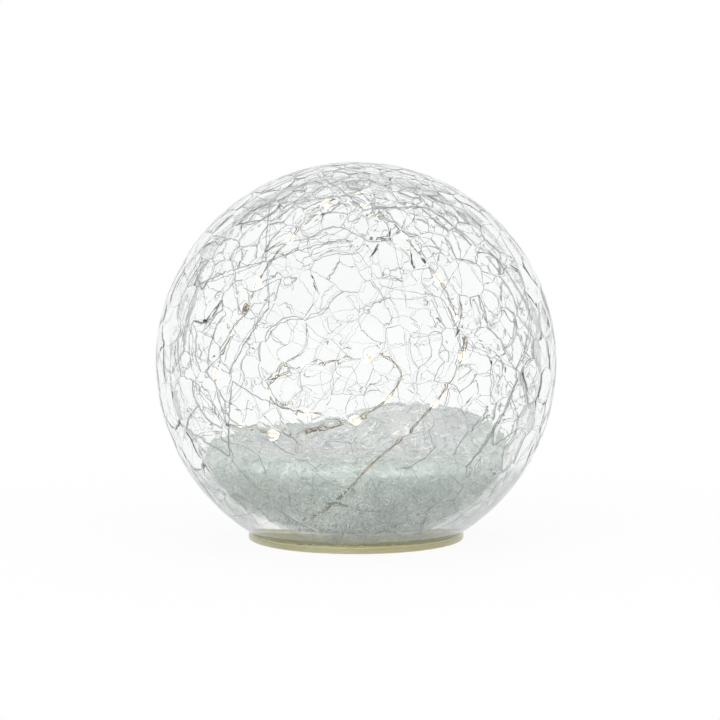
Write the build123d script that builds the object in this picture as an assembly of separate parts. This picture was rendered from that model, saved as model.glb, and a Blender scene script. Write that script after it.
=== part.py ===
from build123d import *

import itertools
import math
import os
import random

# Driving dimensions in millimetres, +Z up, front towards -Y, origin under the middle of the foot

# Glass globe
GLOBE_RADIUS = 75.0
GLASS_WALL = 5.5
CAVITY_LIFT = 1.0
LAND_WIDTH = 7.4
LIP_ROUND = 0.4

# Main cracks of the glass, between large flakes
FLAKE_COUNT = 60
FLAKE_SHIFT = 0.12
FLAKE_SEED = 4
CRACK_WIDTH = 0.4
CRACK_DEPTH = 1.2
CRACK_OVERCUT = 0.3
CRACK_FOOT_MARGIN = 5.0

# Seal ring between the glass and the base
SEAL_THICKNESS = 0.4
SEAL_SKIRT = 1.0
SEAL_OVERHANG = 1.0
SEAL_DROP = 0.5
SEAL_BEVEL = 0.8
SEAL_COLLAR = 0.9
SEAL_COLLAR_HEIGHT = 6.5
SEAL_ROUND = 0.35
MOUTH_GAP = 0.1

# Foot pads
FOOT_PAD_COUNT = 4
FOOT_PAD_RADIUS = 3.0
FOOT_PAD_PROUD = 0.8
FOOT_PAD_SUNK = 0.4
FOOT_PAD_GAP = 0.05

# Battery cells and the bay that holds them
CELL_DIAMETER = 10.5
CELL_LENGTH = 44.5
CELL_NUB_RADIUS = 1.9
CELL_NUB_LENGTH = 0.8
CELL_SPACING = 0.25
CELL_SIDE_GAP = 0.3
CELL_LIFT = 1.2
CELL_HEADROOM = 0.7
CELL_SADDLE_GAP = 0.15
CONTACT_PLATE = 0.4
CONTACT_DIMPLE = 0.2
CONTACT_HALF_HEIGHT = 3.4
CONTACT_HALF_WIDTH = 3.4
LEAF_DEPTH = 2.7
LEAF_THICKNESS = 0.3
LEAF_HALF_WIDTH = 2.0
LEAF_GAP = 0.05
TAB_HALF_WIDTH = 1.4
TAB_REACH = 1.4
TAB_SLOT_GAP = 0.1

# Base housing
FLANGE_THICKNESS = 1.4
CUP_WALL = 1.8
CUP_CEILING = 1.6
CUP_CORNER_MARGIN = 0.3
LEDGE_THICKNESS = 1.0
OPENING_INSET = 0.5
END_WALL = 1.2
PARTITION = 1.0
PARTITION_HALF_LENGTH = 18.5
CRADLE_OFFSET = 12.0
CRADLE_THICKNESS = 2.0
CRADLE_REACH = 2.6
LEAD_NOTCH_WIDTH = 5.0
LEAD_NOTCH_HEIGHT = 2.3

# Battery door, its gasket, hinge and screw
DOOR_THICKNESS = 1.6
DOOR_SIDE_LAP = 2.2
DOOR_FRONT_LAP = 2.6
DOOR_BACK_LAP = 1.6
DOOR_CORNER = 5.0
DOOR_GAP = 0.3
DOOR_BACK_GAP = 0.7
DOOR_RIB_HEIGHT = 2.4
GASKET_THICKNESS = 0.6
GASKET_WIDTH = 1.2
GASKET_EDGE = 0.2
GASKET_CORNER = 2.5
GASKET_GAP = 0.05
PIN_RADIUS = 0.6
PIN_SEAT_GAP = 0.02
PIN_RUNNING_GAP = 0.05
PIN_SEAT_LENGTH = 2.2
KNUCKLE_RADIUS = 1.2
KNUCKLE_INNER_X = 4.0
KNUCKLE_OUTER_X = 8.6
HINGE_SETBACK = 2.2
SCREW_TAB_RADIUS = 3.0
SCREW_SETBACK = 1.2
SCREW_HEAD_RADIUS = 1.9
SCREW_HEAD_HEIGHT = 1.2
SCREW_HEAD_SUNK = 0.1
SCREW_HEAD_GAP = 0.2
SCREW_SHANK_RADIUS = 1.0
SCREW_SHANK_GAP = 0.25
SCREW_LENGTH = 4.2
SCREW_SLOT_WIDTH = 0.6
SCREW_SLOT_DEPTH = 0.5
SCREW_BOSS_RADIUS = 2.2
SCREW_BOSS_HEIGHT = 3.6

# Timer board with its chip, switch and screws
BOARD_THICKNESS = 1.0
BOARD_STANDOFF = 4.6
BOARD_HALF_LENGTH = 13.0
BOARD_WIDTH = 9.0
BOARD_EDGE_GAP = 0.5
BOARD_SIDE_GAP = 0.3
CHIP_LENGTH = 5.0
CHIP_WIDTH = 4.0
CHIP_HEIGHT = 1.4
CHIP_SHIFT = 2.0
BOARD_SCREW_OFFSET = 7.6
BOARD_SCREW_INSET = 2.4
BOARD_SCREW_RADIUS = 0.9
BOARD_SCREW_GAP = 0.05
BOARD_SCREW_LENGTH = 4.6
BOARD_SCREW_HEAD_RADIUS = 1.7
BOARD_SCREW_HEAD_HEIGHT = 1.2
BOARD_BOSS_WALL = 1.1
SWITCH_LENGTH = 8.6
SWITCH_WIDTH = 4.4
SWITCH_HEIGHT = 3.4
SWITCH_TRAVEL = 2.0
SWITCH_GAP = 0.15
SLIDER_HEAD_LENGTH = 3.0
SLIDER_HEAD_WIDTH = 2.0
SLIDER_HEAD_HEIGHT = 1.2
SLIDER_STEM_LENGTH = 2.0
SLIDER_STEM_WIDTH = 1.4
SLIDER_SUNK = 0.3
SLIDER_RIB = 0.3
SWITCH_SKIN = 0.7
DISH_LENGTH = 12.0
DISH_WIDTH = 5.4
DISH_DEPTH = 0.9

# Leads, light wire and its lights
LEAD_DIAMETER = 0.8
LEAD_WALL_GAP = 0.3
LEAD_POCKET_ANGLES = (69.5, 83.0, 98.0, 111.0)
LEAD_RISE_START = 62.0
LEAD_RISE_SPAN = 20.0
LEAD_PAST_PARTITION = 2.8
LEAD_BEFORE_BOARD = 3.6
LEAD_ON_BOARD = 1.1
WIRE_DIAMETER = 1.0
WIRE_TUNNEL_GAP = 0.3
WIRE_PAD_INSET = 1.8
WIRE_PAD_OFFSET = 7.2
WIRE_INNER_RUN = 5.2
WIRE_OUTER_RUN = 6.3
ARC_SHARE = 0.45
GROMMET_AZIMUTH = 210.0
GROMMET_BOARD_GAP = 0.25
GROMMET_BODY_RADIUS = 1.45
GROMMET_FLANGE_RADIUS = 2.2
GROMMET_FLANGE = 0.8
GROMMET_WALL_GAP = 0.12
GROMMET_BORE_GAP = 0.05
GROMMET_HOLE_GAP = 0.03
BEAD_RADIUS = 1.3
BEAD_LENGTH = 4.4
BEAD_MIDDLE = 1.8
BEAD_BORE_GAP = 0.1
LED_CHIP_LENGTH = 1.6
LED_CHIP_WIDTH = 0.8
LED_CHIP_HEIGHT = 0.5
LED_CHIP_GAP = 0.05

# Bed of frosted granulate
FILL_CLEARANCE = 0.3
FILL_BOTTOM_RISE = 1.5
FILL_FOOT_HEIGHT = 3.5
FILL_WALL_GAP = 2.6
FILL_RIM_HEIGHT = 36.0
FILL_RIM_ROUND = 3.5
HEAP_RADIUS = 60.0
HEAP_RISE = 13.0
HEAP_X = 22.0
HEAP_Y = 12.0

# Route of the light wire, as shares of the globe's inner radius from the middle of its inside.
# It goes from the base over the front to the top, and down to the bed.
WIRE_ROUTE_SHARES = [
    (-0.39, -0.43, -0.80),
    (-0.19, -0.63, -0.73),
    (-0.04, -0.78, -0.58),
    (0.07, -0.85, -0.44),
    (0.29, -0.72, -0.29),
    (0.52, -0.39, -0.05),
    (0.59, -0.13, 0.12),
    (0.52, 0.07, 0.31),
    (0.36, 0.22, 0.53),
    (0.16, 0.30, 0.77),
    (-0.07, 0.23, 0.90),
    (-0.27, 0.07, 0.76),
    (-0.45, -0.04, 0.54),
    (-0.60, -0.06, 0.28),
    (-0.73, 0.03, 0.03),
    (-0.77, 0.07, -0.21),
    (-0.68, -0.10, -0.32),
    (-0.53, -0.30, -0.35),
    (-0.33, -0.42, -0.36),
    (-0.12, -0.40, -0.32),
    (0.10, -0.27, -0.25),
    (0.23, -0.12, -0.14),
    (0.24, -0.01, -0.05),
    (0.14, 0.06, 0.02),
    (-0.01, 0.07, 0.00),
    (-0.19, 0.03, -0.03),
    (-0.37, 0.01, -0.06),
    (-0.49, 0.09, -0.15),
    (-0.48, 0.21, -0.26),
    (-0.36, 0.30, -0.32),
    (-0.19, 0.34, -0.34),
]

# Count of runs of that route before each run that carries a light at its middle
RUN_COUNT_TO_LIGHT = [4, 5, 6, 7, 8, 9, 10, 11, 12, 13, 14, 16, 17, 19, 20, 23, 25, 27, 29]

# Heights worked out from the driving dimensions
under_z = FOOT_PAD_PROUD
flange_top_z = under_z + FLANGE_THICKNESS
seat_z = flange_top_z + SEAL_THICKNESS
door_top_z = under_z + DOOR_THICKNESS
ledge_z = door_top_z + GASKET_THICKNESS + GASKET_GAP
floor_top_z = ledge_z + LEDGE_THICKNESS
cell_z = door_top_z + CELL_LIFT + CELL_DIAMETER / 2
ceiling_z = cell_z + CELL_DIAMETER / 2 + CELL_HEADROOM
cup_top_z = ceiling_z + CUP_CEILING
collar_top_z = seat_z + SEAL_COLLAR_HEIGHT
board_z = floor_top_z + BOARD_STANDOFF
board_top_z = board_z + BOARD_THICKNESS

# Radii and half sizes worked out from the driving dimensions
cell_pitch = CELL_DIAMETER + CELL_SPACING
plate_depth = CONTACT_PLATE + CONTACT_DIMPLE
bay_half_width = cell_pitch + CELL_DIAMETER / 2 + CELL_SIDE_GAP
bay_half_length = (CELL_LENGTH + LEAF_DEPTH + plate_depth) / 2
cup_inner_radius = math.hypot(bay_half_width, bay_half_length) + CUP_CORNER_MARGIN
cup_outer_radius = cup_inner_radius + CUP_WALL
collar_radius = cup_outer_radius + SEAL_COLLAR
mouth_radius = collar_radius + MOUTH_GAP
land_radius = mouth_radius + LAND_WIDTH
rim_radius = land_radius + SEAL_OVERHANG
flange_radius = rim_radius - SEAL_SKIRT
pad_circle_radius = (cup_outer_radius + flange_radius) / 2

# Globe and cavity
globe_z = seat_z + math.sqrt(GLOBE_RADIUS**2 - land_radius**2)
cavity_radius = GLOBE_RADIUS - GLASS_WALL
cavity_z = globe_z + CAVITY_LIFT
mouth_top_z = cavity_z - math.sqrt(cavity_radius**2 - mouth_radius**2)

# Door outline, hinge and screw places
opening_half_length = bay_half_length - OPENING_INSET
gasket_inner_x = bay_half_width + GASKET_EDGE
gasket_inner_y = opening_half_length + GASKET_EDGE
door_half_width = bay_half_width + DOOR_SIDE_LAP
door_front_y = -opening_half_length - DOOR_FRONT_LAP
door_back_y = opening_half_length + DOOR_BACK_LAP
hinge_y = door_back_y + HINGE_SETBACK
hinge_z = under_z + KNUCKLE_RADIUS
screw_y = door_front_y - SCREW_SETBACK
tab_top_z = ledge_z - GASKET_GAP
screw_head_z = under_z + SCREW_HEAD_SUNK
screw_seat_z = screw_head_z + SCREW_HEAD_HEIGHT

# Board, switch and grommet places
board_x = -(bay_half_width + PARTITION + BOARD_SIDE_GAP)
board_outer_x = board_x - BOARD_WIDTH
switch_x = board_x - BOARD_WIDTH / 2
board_screw_x = board_outer_x + BOARD_SCREW_INSET
switch_bottom_z = board_z - SWITCH_HEIGHT
slider_head_z = switch_bottom_z + SWITCH_SKIN
slider_tip_z = under_z + SLIDER_SUNK
grommet_z = board_top_z + GROMMET_FLANGE_RADIUS + GROMMET_BOARD_GAP
grommet_x = math.cos(math.radians(GROMMET_AZIMUTH))
grommet_y = math.sin(math.radians(GROMMET_AZIMUTH))


def rod(radius, bottom, top, x=0.0, y=0.0):
    """Upright cylinder between two heights."""
    return Pos(x, y, (bottom + top) / 2) * Cylinder(radius, top - bottom)


def rod_along_x(radius, start, end, y, z):
    """Cylinder along X between two places."""
    return Pos((start + end) / 2, y, z) * Rot(0, 90, 0) * Cylinder(radius, end - start)


def rod_along_y(radius, start, end, x, z):
    """Cylinder along Y between two places."""
    return Pos(x, (start + end) / 2, z) * Rot(90, 0, 0) * Cylinder(radius, end - start)


def block(x_range, y_range, z_range):
    """Box between two places on each axis."""
    ends = (x_range, y_range, z_range)
    middle = [(low + high) / 2 for low, high in ends]
    size = [high - low for low, high in ends]
    return Pos(*middle) * Box(*size)


def around(middle, half):
    """Range of one axis about a middle."""
    return (middle - half, middle + half)


def turned(points):
    """Solid of revolution about Z from an outline of radius and height points."""
    return revolve(Plane.XZ * make_face(Polyline(*points, close=True)), Axis.Z)


def group(solids):
    """Separate solids that share one node."""
    return Compound(children=list(solids))


# Glass and foot


def flake_middles():
    """Uneven directions all round, one for the middle of each large flake of glass."""
    chance = random.Random(FLAKE_SEED)
    golden_turn = math.pi * (3 - math.sqrt(5))
    middles = []
    for number in range(FLAKE_COUNT):
        height = 1 - (2 * number + 1) / FLAKE_COUNT
        across = math.sqrt(1 - height**2)
        angle = number * golden_turn
        place = (across * math.cos(angle), across * math.sin(angle), height)
        moved = [value + chance.uniform(-FLAKE_SHIFT, FLAKE_SHIFT) for value in place]
        middles.append(Vector(*moved).normalized())
    return middles


def flake_corners(middles):
    """Direction of each corner where three flakes meet, by the numbers of the three."""
    corners = {}
    for three in itertools.combinations(range(len(middles)), 3):
        first, second, third = [middles[number] for number in three]
        out = (second - first).cross(third - first).normalized()
        out = out if out.dot(first) > 0 else -out
        reach = out.dot(first)
        others = [middle for number, middle in enumerate(middles) if number not in three]
        if all(out.dot(other) < reach for other in others):
            corners[three] = out
    return corners


def crack_lines():
    """Directions of the ends of each main crack, two corners that share two flakes."""
    lowest = (mouth_top_z + CRACK_FOOT_MARGIN - cavity_z) / cavity_radius
    lines = []
    for first, second in itertools.combinations(flake_corners(flake_middles()).items(), 2):
        shared = set(first[0]) & set(second[0])
        if len(shared) == 2 and min(first[1].Z, second[1].Z) > lowest:
            lines.append((first[1], second[1]))
    return lines


def crack_wedge(start, end):
    """Thin wedge from the inside of the globe into the glass, along the shortest way between two ends."""
    middle = Vector(0, 0, cavity_z)
    axis = start.cross(end).normalized()
    across = Plane(origin=middle, x_dir=start, z_dir=start.cross(axis))
    root = cavity_radius - CRACK_OVERCUT
    half = CRACK_WIDTH / 2
    tip = cavity_radius + min(CRACK_DEPTH, GLASS_WALL / 2)
    section = across * make_face(Polyline((root, -half), (root, half), (tip, 0), close=True))
    return revolve(section, Axis(middle, axis), start.get_angle(end))


def glass_globe():
    """Globe with an eccentric cavity, cut flat where it stands on the seal."""
    top_z = globe_z + GLOBE_RADIUS
    outer = ThreePointArc((land_radius, seat_z), (GLOBE_RADIUS, globe_z), (0, top_z))
    top = Line((0, top_z), (0, cavity_z + cavity_radius))
    cavity_top_z = cavity_z + cavity_radius
    inner = ThreePointArc((0, cavity_top_z), (cavity_radius, cavity_z), (mouth_radius, mouth_top_z))
    foot = Polyline((mouth_radius, mouth_top_z), (mouth_radius, seat_z), (land_radius, seat_z))
    glass = revolve(Plane.XZ * make_face([outer, top, inner, foot]), Axis.Z)
    lips = glass.edges().filter_by(GeomType.CIRCLE).filter_by_position(Axis.Z, seat_z, seat_z)
    glass = fillet(lips, min(LIP_ROUND, GLASS_WALL / 2))
    return glass - [crack_wedge(start, end) for start, end in crack_lines()]


def seal_ring():
    """Ring that wraps the rim of the base, carries the glass and stands up inside its mouth."""
    skirt_z = under_z - SEAL_DROP
    ring = turned(
        [
            (flange_radius, skirt_z),
            (rim_radius, skirt_z),
            (rim_radius, seat_z - SEAL_BEVEL),
            (rim_radius - SEAL_BEVEL, seat_z),
            (collar_radius, seat_z),
            (collar_radius, collar_top_z),
            (cup_outer_radius, collar_top_z),
            (cup_outer_radius, flange_top_z),
            (flange_radius, flange_top_z),
        ]
    )
    circles = ring.edges().filter_by(GeomType.CIRCLE)
    rim = [edge for edge in circles if math.isclose(edge.radius, rim_radius)]
    return fillet(rim, min(SEAL_ROUND, SEAL_SKIRT / 2))


def pad_places():
    """Places of the foot pads, evenly spaced on the flange."""
    step = 2 * math.pi / FOOT_PAD_COUNT
    angles = [step * (index + 0.5) for index in range(FOOT_PAD_COUNT)]
    return [(pad_circle_radius * math.cos(angle), pad_circle_radius * math.sin(angle)) for angle in angles]


def foot_pads():
    """Soft feet, sunk a little into the flange."""
    return group(rod(FOOT_PAD_RADIUS, 0, under_z + FOOT_PAD_SUNK, x, y) for x, y in pad_places())


# Base housing


def cell_places():
    """Place across the bay and end of the negative pole of each cell, -1 in front and +1 behind."""
    return {
        "battery_left": (-cell_pitch, -1),
        "battery_middle": (0.0, 1),
        "battery_right": (cell_pitch, -1),
    }


def door_outline(side_gap, back_gap):
    """Plan of the door, or of its recess with the gaps added, with the tab for the screw."""
    front = door_front_y - side_gap
    back = door_back_y + back_gap
    plate = RectangleRounded(2 * (door_half_width + side_gap), back - front, DOOR_CORNER)
    neck = Rectangle(2 * (SCREW_TAB_RADIUS + side_gap), SCREW_TAB_RADIUS)
    return Pos(0, (front + back) / 2) * plate + Pos(0, screw_y + SCREW_TAB_RADIUS / 2) * neck


def screw_tab(side_gap):
    """Round end of the door's screw tab."""
    return Pos(0, screw_y) * Circle(SCREW_TAB_RADIUS + side_gap)


def knuckle_ranges(gap):
    """Places of the two door knuckles along the hinge, widened by a gap."""
    start = KNUCKLE_INNER_X - gap
    end = KNUCKLE_OUTER_X + gap
    return [(-end, -start), (start, end)]


def saddles():
    """Cylinders that the cells take up in the ribs that hold them."""
    radius = CELL_DIAMETER / 2 + CELL_SADDLE_GAP
    places = [x for x, _ in cell_places().values()]
    return [rod_along_y(radius, -bay_half_length, bay_half_length, x, cell_z) for x in places]


def bay_walls():
    """Walls, ribs and bosses inside the cup."""
    height = (floor_top_z, ceiling_z)
    outer_x = bay_half_width + PARTITION
    walls = []
    for side in (-1, 1):
        end = sorted((side * bay_half_length, side * (bay_half_length + END_WALL)))
        walls.append(block((-outer_x, outer_x), end, height))
        partition = sorted((side * bay_half_width, side * outer_x))
        walls.append(block(partition, around(0, PARTITION_HALF_LENGTH), height))
        cradle = around(side * CRADLE_OFFSET, CRADLE_THICKNESS / 2)
        rib = block(around(0, bay_half_width), cradle, (cell_z + CRADLE_REACH, ceiling_z))
        walls.append(rib - saddles())
        boss_radius = BOARD_SCREW_RADIUS + BOARD_BOSS_WALL
        walls.append(rod(boss_radius, floor_top_z, board_z, board_screw_x, side * BOARD_SCREW_OFFSET))
    walls.append(rod(SCREW_BOSS_RADIUS, floor_top_z, floor_top_z + SCREW_BOSS_HEIGHT, 0, screw_y))
    return walls


def tab_slots():
    """Slots in the end walls for the solder tabs."""
    half_height = CONTACT_PLATE / 2 + TAB_SLOT_GAP
    half_width = TAB_HALF_WIDTH + TAB_SLOT_GAP
    slots = []
    for side in (-1, 1):
        wall = sorted((side * bay_half_length, side * (bay_half_length + END_WALL)))
        slots.append(block(around(side * cell_pitch, half_width), wall, around(cell_z, half_height)))
    return slots


def lead_notches():
    """Notches at the top of the end walls that let the leads past."""
    outer_x = bay_half_width + PARTITION
    notches = []
    for side in (-1, 1):
        wall = sorted((side * bay_half_length, side * (bay_half_length + END_WALL)))
        across = (-outer_x, -outer_x + PARTITION + LEAD_NOTCH_WIDTH)
        notches.append(block(across, wall, (ceiling_z - LEAD_NOTCH_HEIGHT, ceiling_z)))
    return notches


def underside_cuts():
    """Openings in the floor for the door, hinge, screw, switch, board screws and feet."""
    deep = ledge_z - under_z
    cuts = [block(around(0, bay_half_width), around(0, opening_half_length), (under_z, floor_top_z))]
    recess = door_outline(DOOR_GAP, DOOR_BACK_GAP) + screw_tab(DOOR_GAP)
    cuts.append(Pos(0, 0, under_z) * extrude(recess, deep))
    hollow_radius = KNUCKLE_RADIUS + DOOR_GAP
    for start, end in knuckle_ranges(DOOR_GAP):
        cuts.append(rod_along_x(hollow_radius, start, end, hinge_y, hinge_z))
        cuts.append(block((start, end), (door_back_y, hinge_y), (under_z, door_top_z + DOOR_GAP)))
        cuts.append(block((start, end), around(hinge_y, hollow_radius), (under_z, hinge_z)))
    pin_end = KNUCKLE_OUTER_X + DOOR_GAP + PIN_SEAT_LENGTH
    cuts.append(rod_along_x(PIN_RADIUS + PIN_SEAT_GAP, -pin_end, pin_end, hinge_y, hinge_z))
    screw_top = floor_top_z + SCREW_BOSS_HEIGHT
    cuts.append(rod(SCREW_SHANK_RADIUS + SCREW_SHANK_GAP, under_z, screw_top, 0, screw_y))
    slot_half_length = SLIDER_HEAD_LENGTH / 2 + SWITCH_TRAVEL + SWITCH_GAP
    slot_half_width = SLIDER_HEAD_WIDTH / 2 + SWITCH_GAP
    slot = (around(switch_x, slot_half_width), around(0, slot_half_length), (under_z, floor_top_z))
    cuts.append(block(*slot))
    dish = (around(switch_x, DISH_WIDTH / 2), around(0, DISH_LENGTH / 2), (under_z, under_z + DISH_DEPTH))
    cuts.append(block(*dish))
    for side in (-1, 1):
        bore = BOARD_SCREW_RADIUS + BOARD_SCREW_GAP
        low = board_top_z - BOARD_SCREW_LENGTH - SWITCH_GAP
        cuts.append(rod(bore, low, board_z, board_screw_x, side * BOARD_SCREW_OFFSET))
    for x, y in pad_places():
        cuts.append(rod(FOOT_PAD_RADIUS + FOOT_PAD_GAP, under_z, under_z + FOOT_PAD_SUNK, x, y))
    return cuts


def base_housing():
    """Flange that carries the glass, with the cup for the batteries and the timer."""
    room = rod(cup_inner_radius, floor_top_z, ceiling_z)
    housing = rod(flange_radius, under_z, flange_top_z) + rod(cup_outer_radius, under_z, cup_top_z)
    housing = housing - room
    for wall in bay_walls():
        housing = housing + (wall & room)
    hole_ends = (cup_inner_radius - CUP_WALL, cup_outer_radius + CUP_WALL)
    hole = radial_rod(GROMMET_BODY_RADIUS + GROMMET_HOLE_GAP, *hole_ends)
    return housing - underside_cuts() - tab_slots() - lead_notches() - hole


# Door


def battery_door():
    """Door plate with its knuckles, its ribs that bear on the cells and its tab for the screw."""
    outline = door_outline(0, 0)
    door = Pos(0, 0, under_z) * extrude(outline + screw_tab(0), DOOR_THICKNESS)
    tab = extrude(Plane.XY.offset(under_z) * (outline + screw_tab(0)), tab_top_z - under_z)
    clear_of_gasket = (screw_y - SCREW_TAB_RADIUS, -gasket_inner_y - GASKET_WIDTH - DOOR_GAP)
    door = door + (tab & block(around(0, SCREW_TAB_RADIUS), clear_of_gasket, (under_z, tab_top_z)))
    for knuckle in knuckle_ranges(0):
        door = door + rod_along_x(KNUCKLE_RADIUS, *knuckle, hinge_y, hinge_z)
        door = door + block(knuckle, (door_back_y - HINGE_SETBACK, hinge_y), (under_z, door_top_z))
    for side in (-1, 1):
        across = around(0, bay_half_width - CELL_SIDE_GAP)
        along = around(side * CRADLE_OFFSET, CRADLE_THICKNESS / 2)
        rib = block(across, along, (door_top_z, door_top_z + DOOR_RIB_HEIGHT))
        door = door + (rib - saddles())
    bore = PIN_RADIUS + PIN_RUNNING_GAP
    door = door - rod_along_x(bore, -KNUCKLE_OUTER_X, KNUCKLE_OUTER_X, hinge_y, hinge_z)
    door = door - rod(SCREW_HEAD_RADIUS + SCREW_HEAD_GAP, under_z, screw_seat_z, 0, screw_y)
    return door - rod(SCREW_SHANK_RADIUS + SCREW_SHANK_GAP, under_z, tab_top_z, 0, screw_y)


def door_gasket():
    """Flat frame between the door and the ledge round the opening."""
    outer_x = gasket_inner_x + GASKET_WIDTH
    outer_y = gasket_inner_y + GASKET_WIDTH
    outer = RectangleRounded(2 * outer_x, 2 * outer_y, GASKET_CORNER + GASKET_WIDTH)
    frame = outer - RectangleRounded(2 * gasket_inner_x, 2 * gasket_inner_y, GASKET_CORNER)
    return Pos(0, 0, door_top_z) * extrude(frame, GASKET_THICKNESS)


def door_hinge_pin():
    """Steel pin, seated in the housing beside the knuckles."""
    end = KNUCKLE_OUTER_X + DOOR_GAP + PIN_SEAT_LENGTH
    return rod_along_x(PIN_RADIUS, -end, end, hinge_y, hinge_z)


def door_screw():
    """Slotted screw that keeps the door shut."""
    head = rod(SCREW_HEAD_RADIUS, screw_head_z, screw_seat_z, 0, screw_y)
    shank = rod(SCREW_SHANK_RADIUS, screw_seat_z, screw_seat_z + SCREW_LENGTH, 0, screw_y)
    slot_along = around(screw_y, SCREW_SLOT_WIDTH / 2)
    slot_height = (screw_head_z, screw_head_z + SCREW_SLOT_DEPTH)
    return head + shank - block(around(0, SCREW_HEAD_RADIUS), slot_along, slot_height)


# Cells and contacts


def cell(x, negative_end):
    """Round cell along Y with its raised positive pole."""
    negative_y = negative_end * (bay_half_length - LEAF_DEPTH)
    shoulder_y = negative_y - negative_end * (CELL_LENGTH - CELL_NUB_LENGTH)
    nub_y = negative_y - negative_end * CELL_LENGTH
    can = rod_along_y(CELL_DIAMETER / 2, *sorted((negative_y, shoulder_y)), x, cell_z)
    return can + rod_along_y(CELL_NUB_RADIUS, *sorted((shoulder_y, nub_y)), x, cell_z)


def contact_plate(x_range, end):
    """Flat plate on an end wall."""
    face = end * bay_half_length
    return block(x_range, sorted((face, face - end * CONTACT_PLATE)), around(cell_z, CONTACT_HALF_HEIGHT))


def contact_dimple(x, end):
    """Raised spot that meets a positive pole."""
    face = end * (bay_half_length - CONTACT_PLATE)
    return rod_along_y(CELL_NUB_RADIUS, *sorted((face, face - end * CONTACT_DIMPLE)), x, cell_z)


def contact_leaf(x, end):
    """Bowed leaf that presses on a negative pole."""
    face = bay_half_length - CONTACT_PLATE / 2
    crown = bay_half_length - LEAF_DEPTH + LEAF_GAP
    low = (face, cell_z - CONTACT_HALF_HEIGHT)
    high = (face, cell_z + CONTACT_HALF_HEIGHT)
    outer = ThreePointArc(low, (crown, cell_z), high)
    low_in = (face, cell_z - CONTACT_HALF_HEIGHT + LEAF_THICKNESS)
    high_in = (face, cell_z + CONTACT_HALF_HEIGHT - LEAF_THICKNESS)
    inner = ThreePointArc(low_in, (crown + LEAF_THICKNESS, cell_z), high_in)
    section = make_face([outer, Line(high, high_in), inner, Line(low_in, low)])
    strip = extrude(Plane.YZ * section, LEAF_HALF_WIDTH, both=True)
    return Pos(x, 0, 0) * (strip if end > 0 else mirror(strip, Plane.XZ))


def solder_tab(x, end):
    """Tab through the end wall for a lead."""
    face = end * (bay_half_length - CONTACT_PLATE)
    tip = end * (bay_half_length + END_WALL + TAB_REACH)
    return block(around(x, TAB_HALF_WIDTH), sorted((face, tip)), around(cell_z, CONTACT_PLATE / 2))


def negative_terminal():
    """Front contact of the left cell."""
    plate = contact_plate(around(-cell_pitch, CONTACT_HALF_WIDTH), -1)
    return plate + contact_leaf(-cell_pitch, -1) + solder_tab(-cell_pitch, -1)


def positive_terminal():
    """Rear contact of the right cell."""
    plate = contact_plate(around(cell_pitch, CONTACT_HALF_WIDTH), 1)
    return plate + contact_dimple(cell_pitch, 1) + solder_tab(cell_pitch, 1)


def rear_bridge():
    """Rear contact that joins the left and middle cells."""
    plate = contact_plate((-cell_pitch - CONTACT_HALF_WIDTH, CONTACT_HALF_WIDTH), 1)
    return plate + contact_dimple(-cell_pitch, 1) + contact_leaf(0, 1)


def front_bridge():
    """Front contact that joins the middle and right cells."""
    plate = contact_plate((-CONTACT_HALF_WIDTH, cell_pitch + CONTACT_HALF_WIDTH), -1)
    return plate + contact_dimple(0, -1) + contact_leaf(cell_pitch, -1)


# Timer board


def timer_board():
    """Board beside the cells, trimmed to the round of the cup."""
    board = block((board_outer_x, board_x), around(0, BOARD_HALF_LENGTH), (board_z, board_top_z))
    board = board & rod(cup_inner_radius - BOARD_EDGE_GAP, board_z, board_top_z)
    for side in (-1, 1):
        hole = BOARD_SCREW_RADIUS + BOARD_SCREW_GAP
        board = board - rod(hole, board_z, board_top_z, board_screw_x, side * BOARD_SCREW_OFFSET)
    return board


def timer_chip():
    """Control chip on top of the board."""
    across = around(switch_x, CHIP_WIDTH / 2)
    along = around(CHIP_SHIFT, CHIP_LENGTH / 2)
    return block(across, along, (board_top_z, board_top_z + CHIP_HEIGHT))


def board_screws():
    """Two screws that hold the board on its bosses."""
    screws = []
    for side in (-1, 1):
        y = side * BOARD_SCREW_OFFSET
        shank = rod(BOARD_SCREW_RADIUS, board_top_z - BOARD_SCREW_LENGTH, board_top_z, board_screw_x, y)
        head_top = board_top_z + BOARD_SCREW_HEAD_HEIGHT
        screws.append(shank + rod(BOARD_SCREW_HEAD_RADIUS, board_top_z, head_top, board_screw_x, y))
    return group(screws)


def switch_case():
    """Case of the slide switch under the board, open below for the slider."""
    case = block(
        around(switch_x, SWITCH_WIDTH / 2), around(0, SWITCH_LENGTH / 2), (switch_bottom_z, board_z)
    )
    reach = SWITCH_TRAVEL + SWITCH_GAP
    room_top = slider_head_z + SLIDER_HEAD_HEIGHT + SWITCH_GAP
    room = block(
        around(switch_x, SLIDER_HEAD_WIDTH / 2 + SWITCH_GAP),
        around(0, SLIDER_HEAD_LENGTH / 2 + reach),
        (slider_head_z - SWITCH_GAP, room_top),
    )
    window = block(
        around(switch_x, SLIDER_STEM_WIDTH / 2 + SWITCH_GAP),
        around(0, SLIDER_STEM_LENGTH / 2 + reach),
        (switch_bottom_z, slider_head_z),
    )
    return case - room - window


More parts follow.
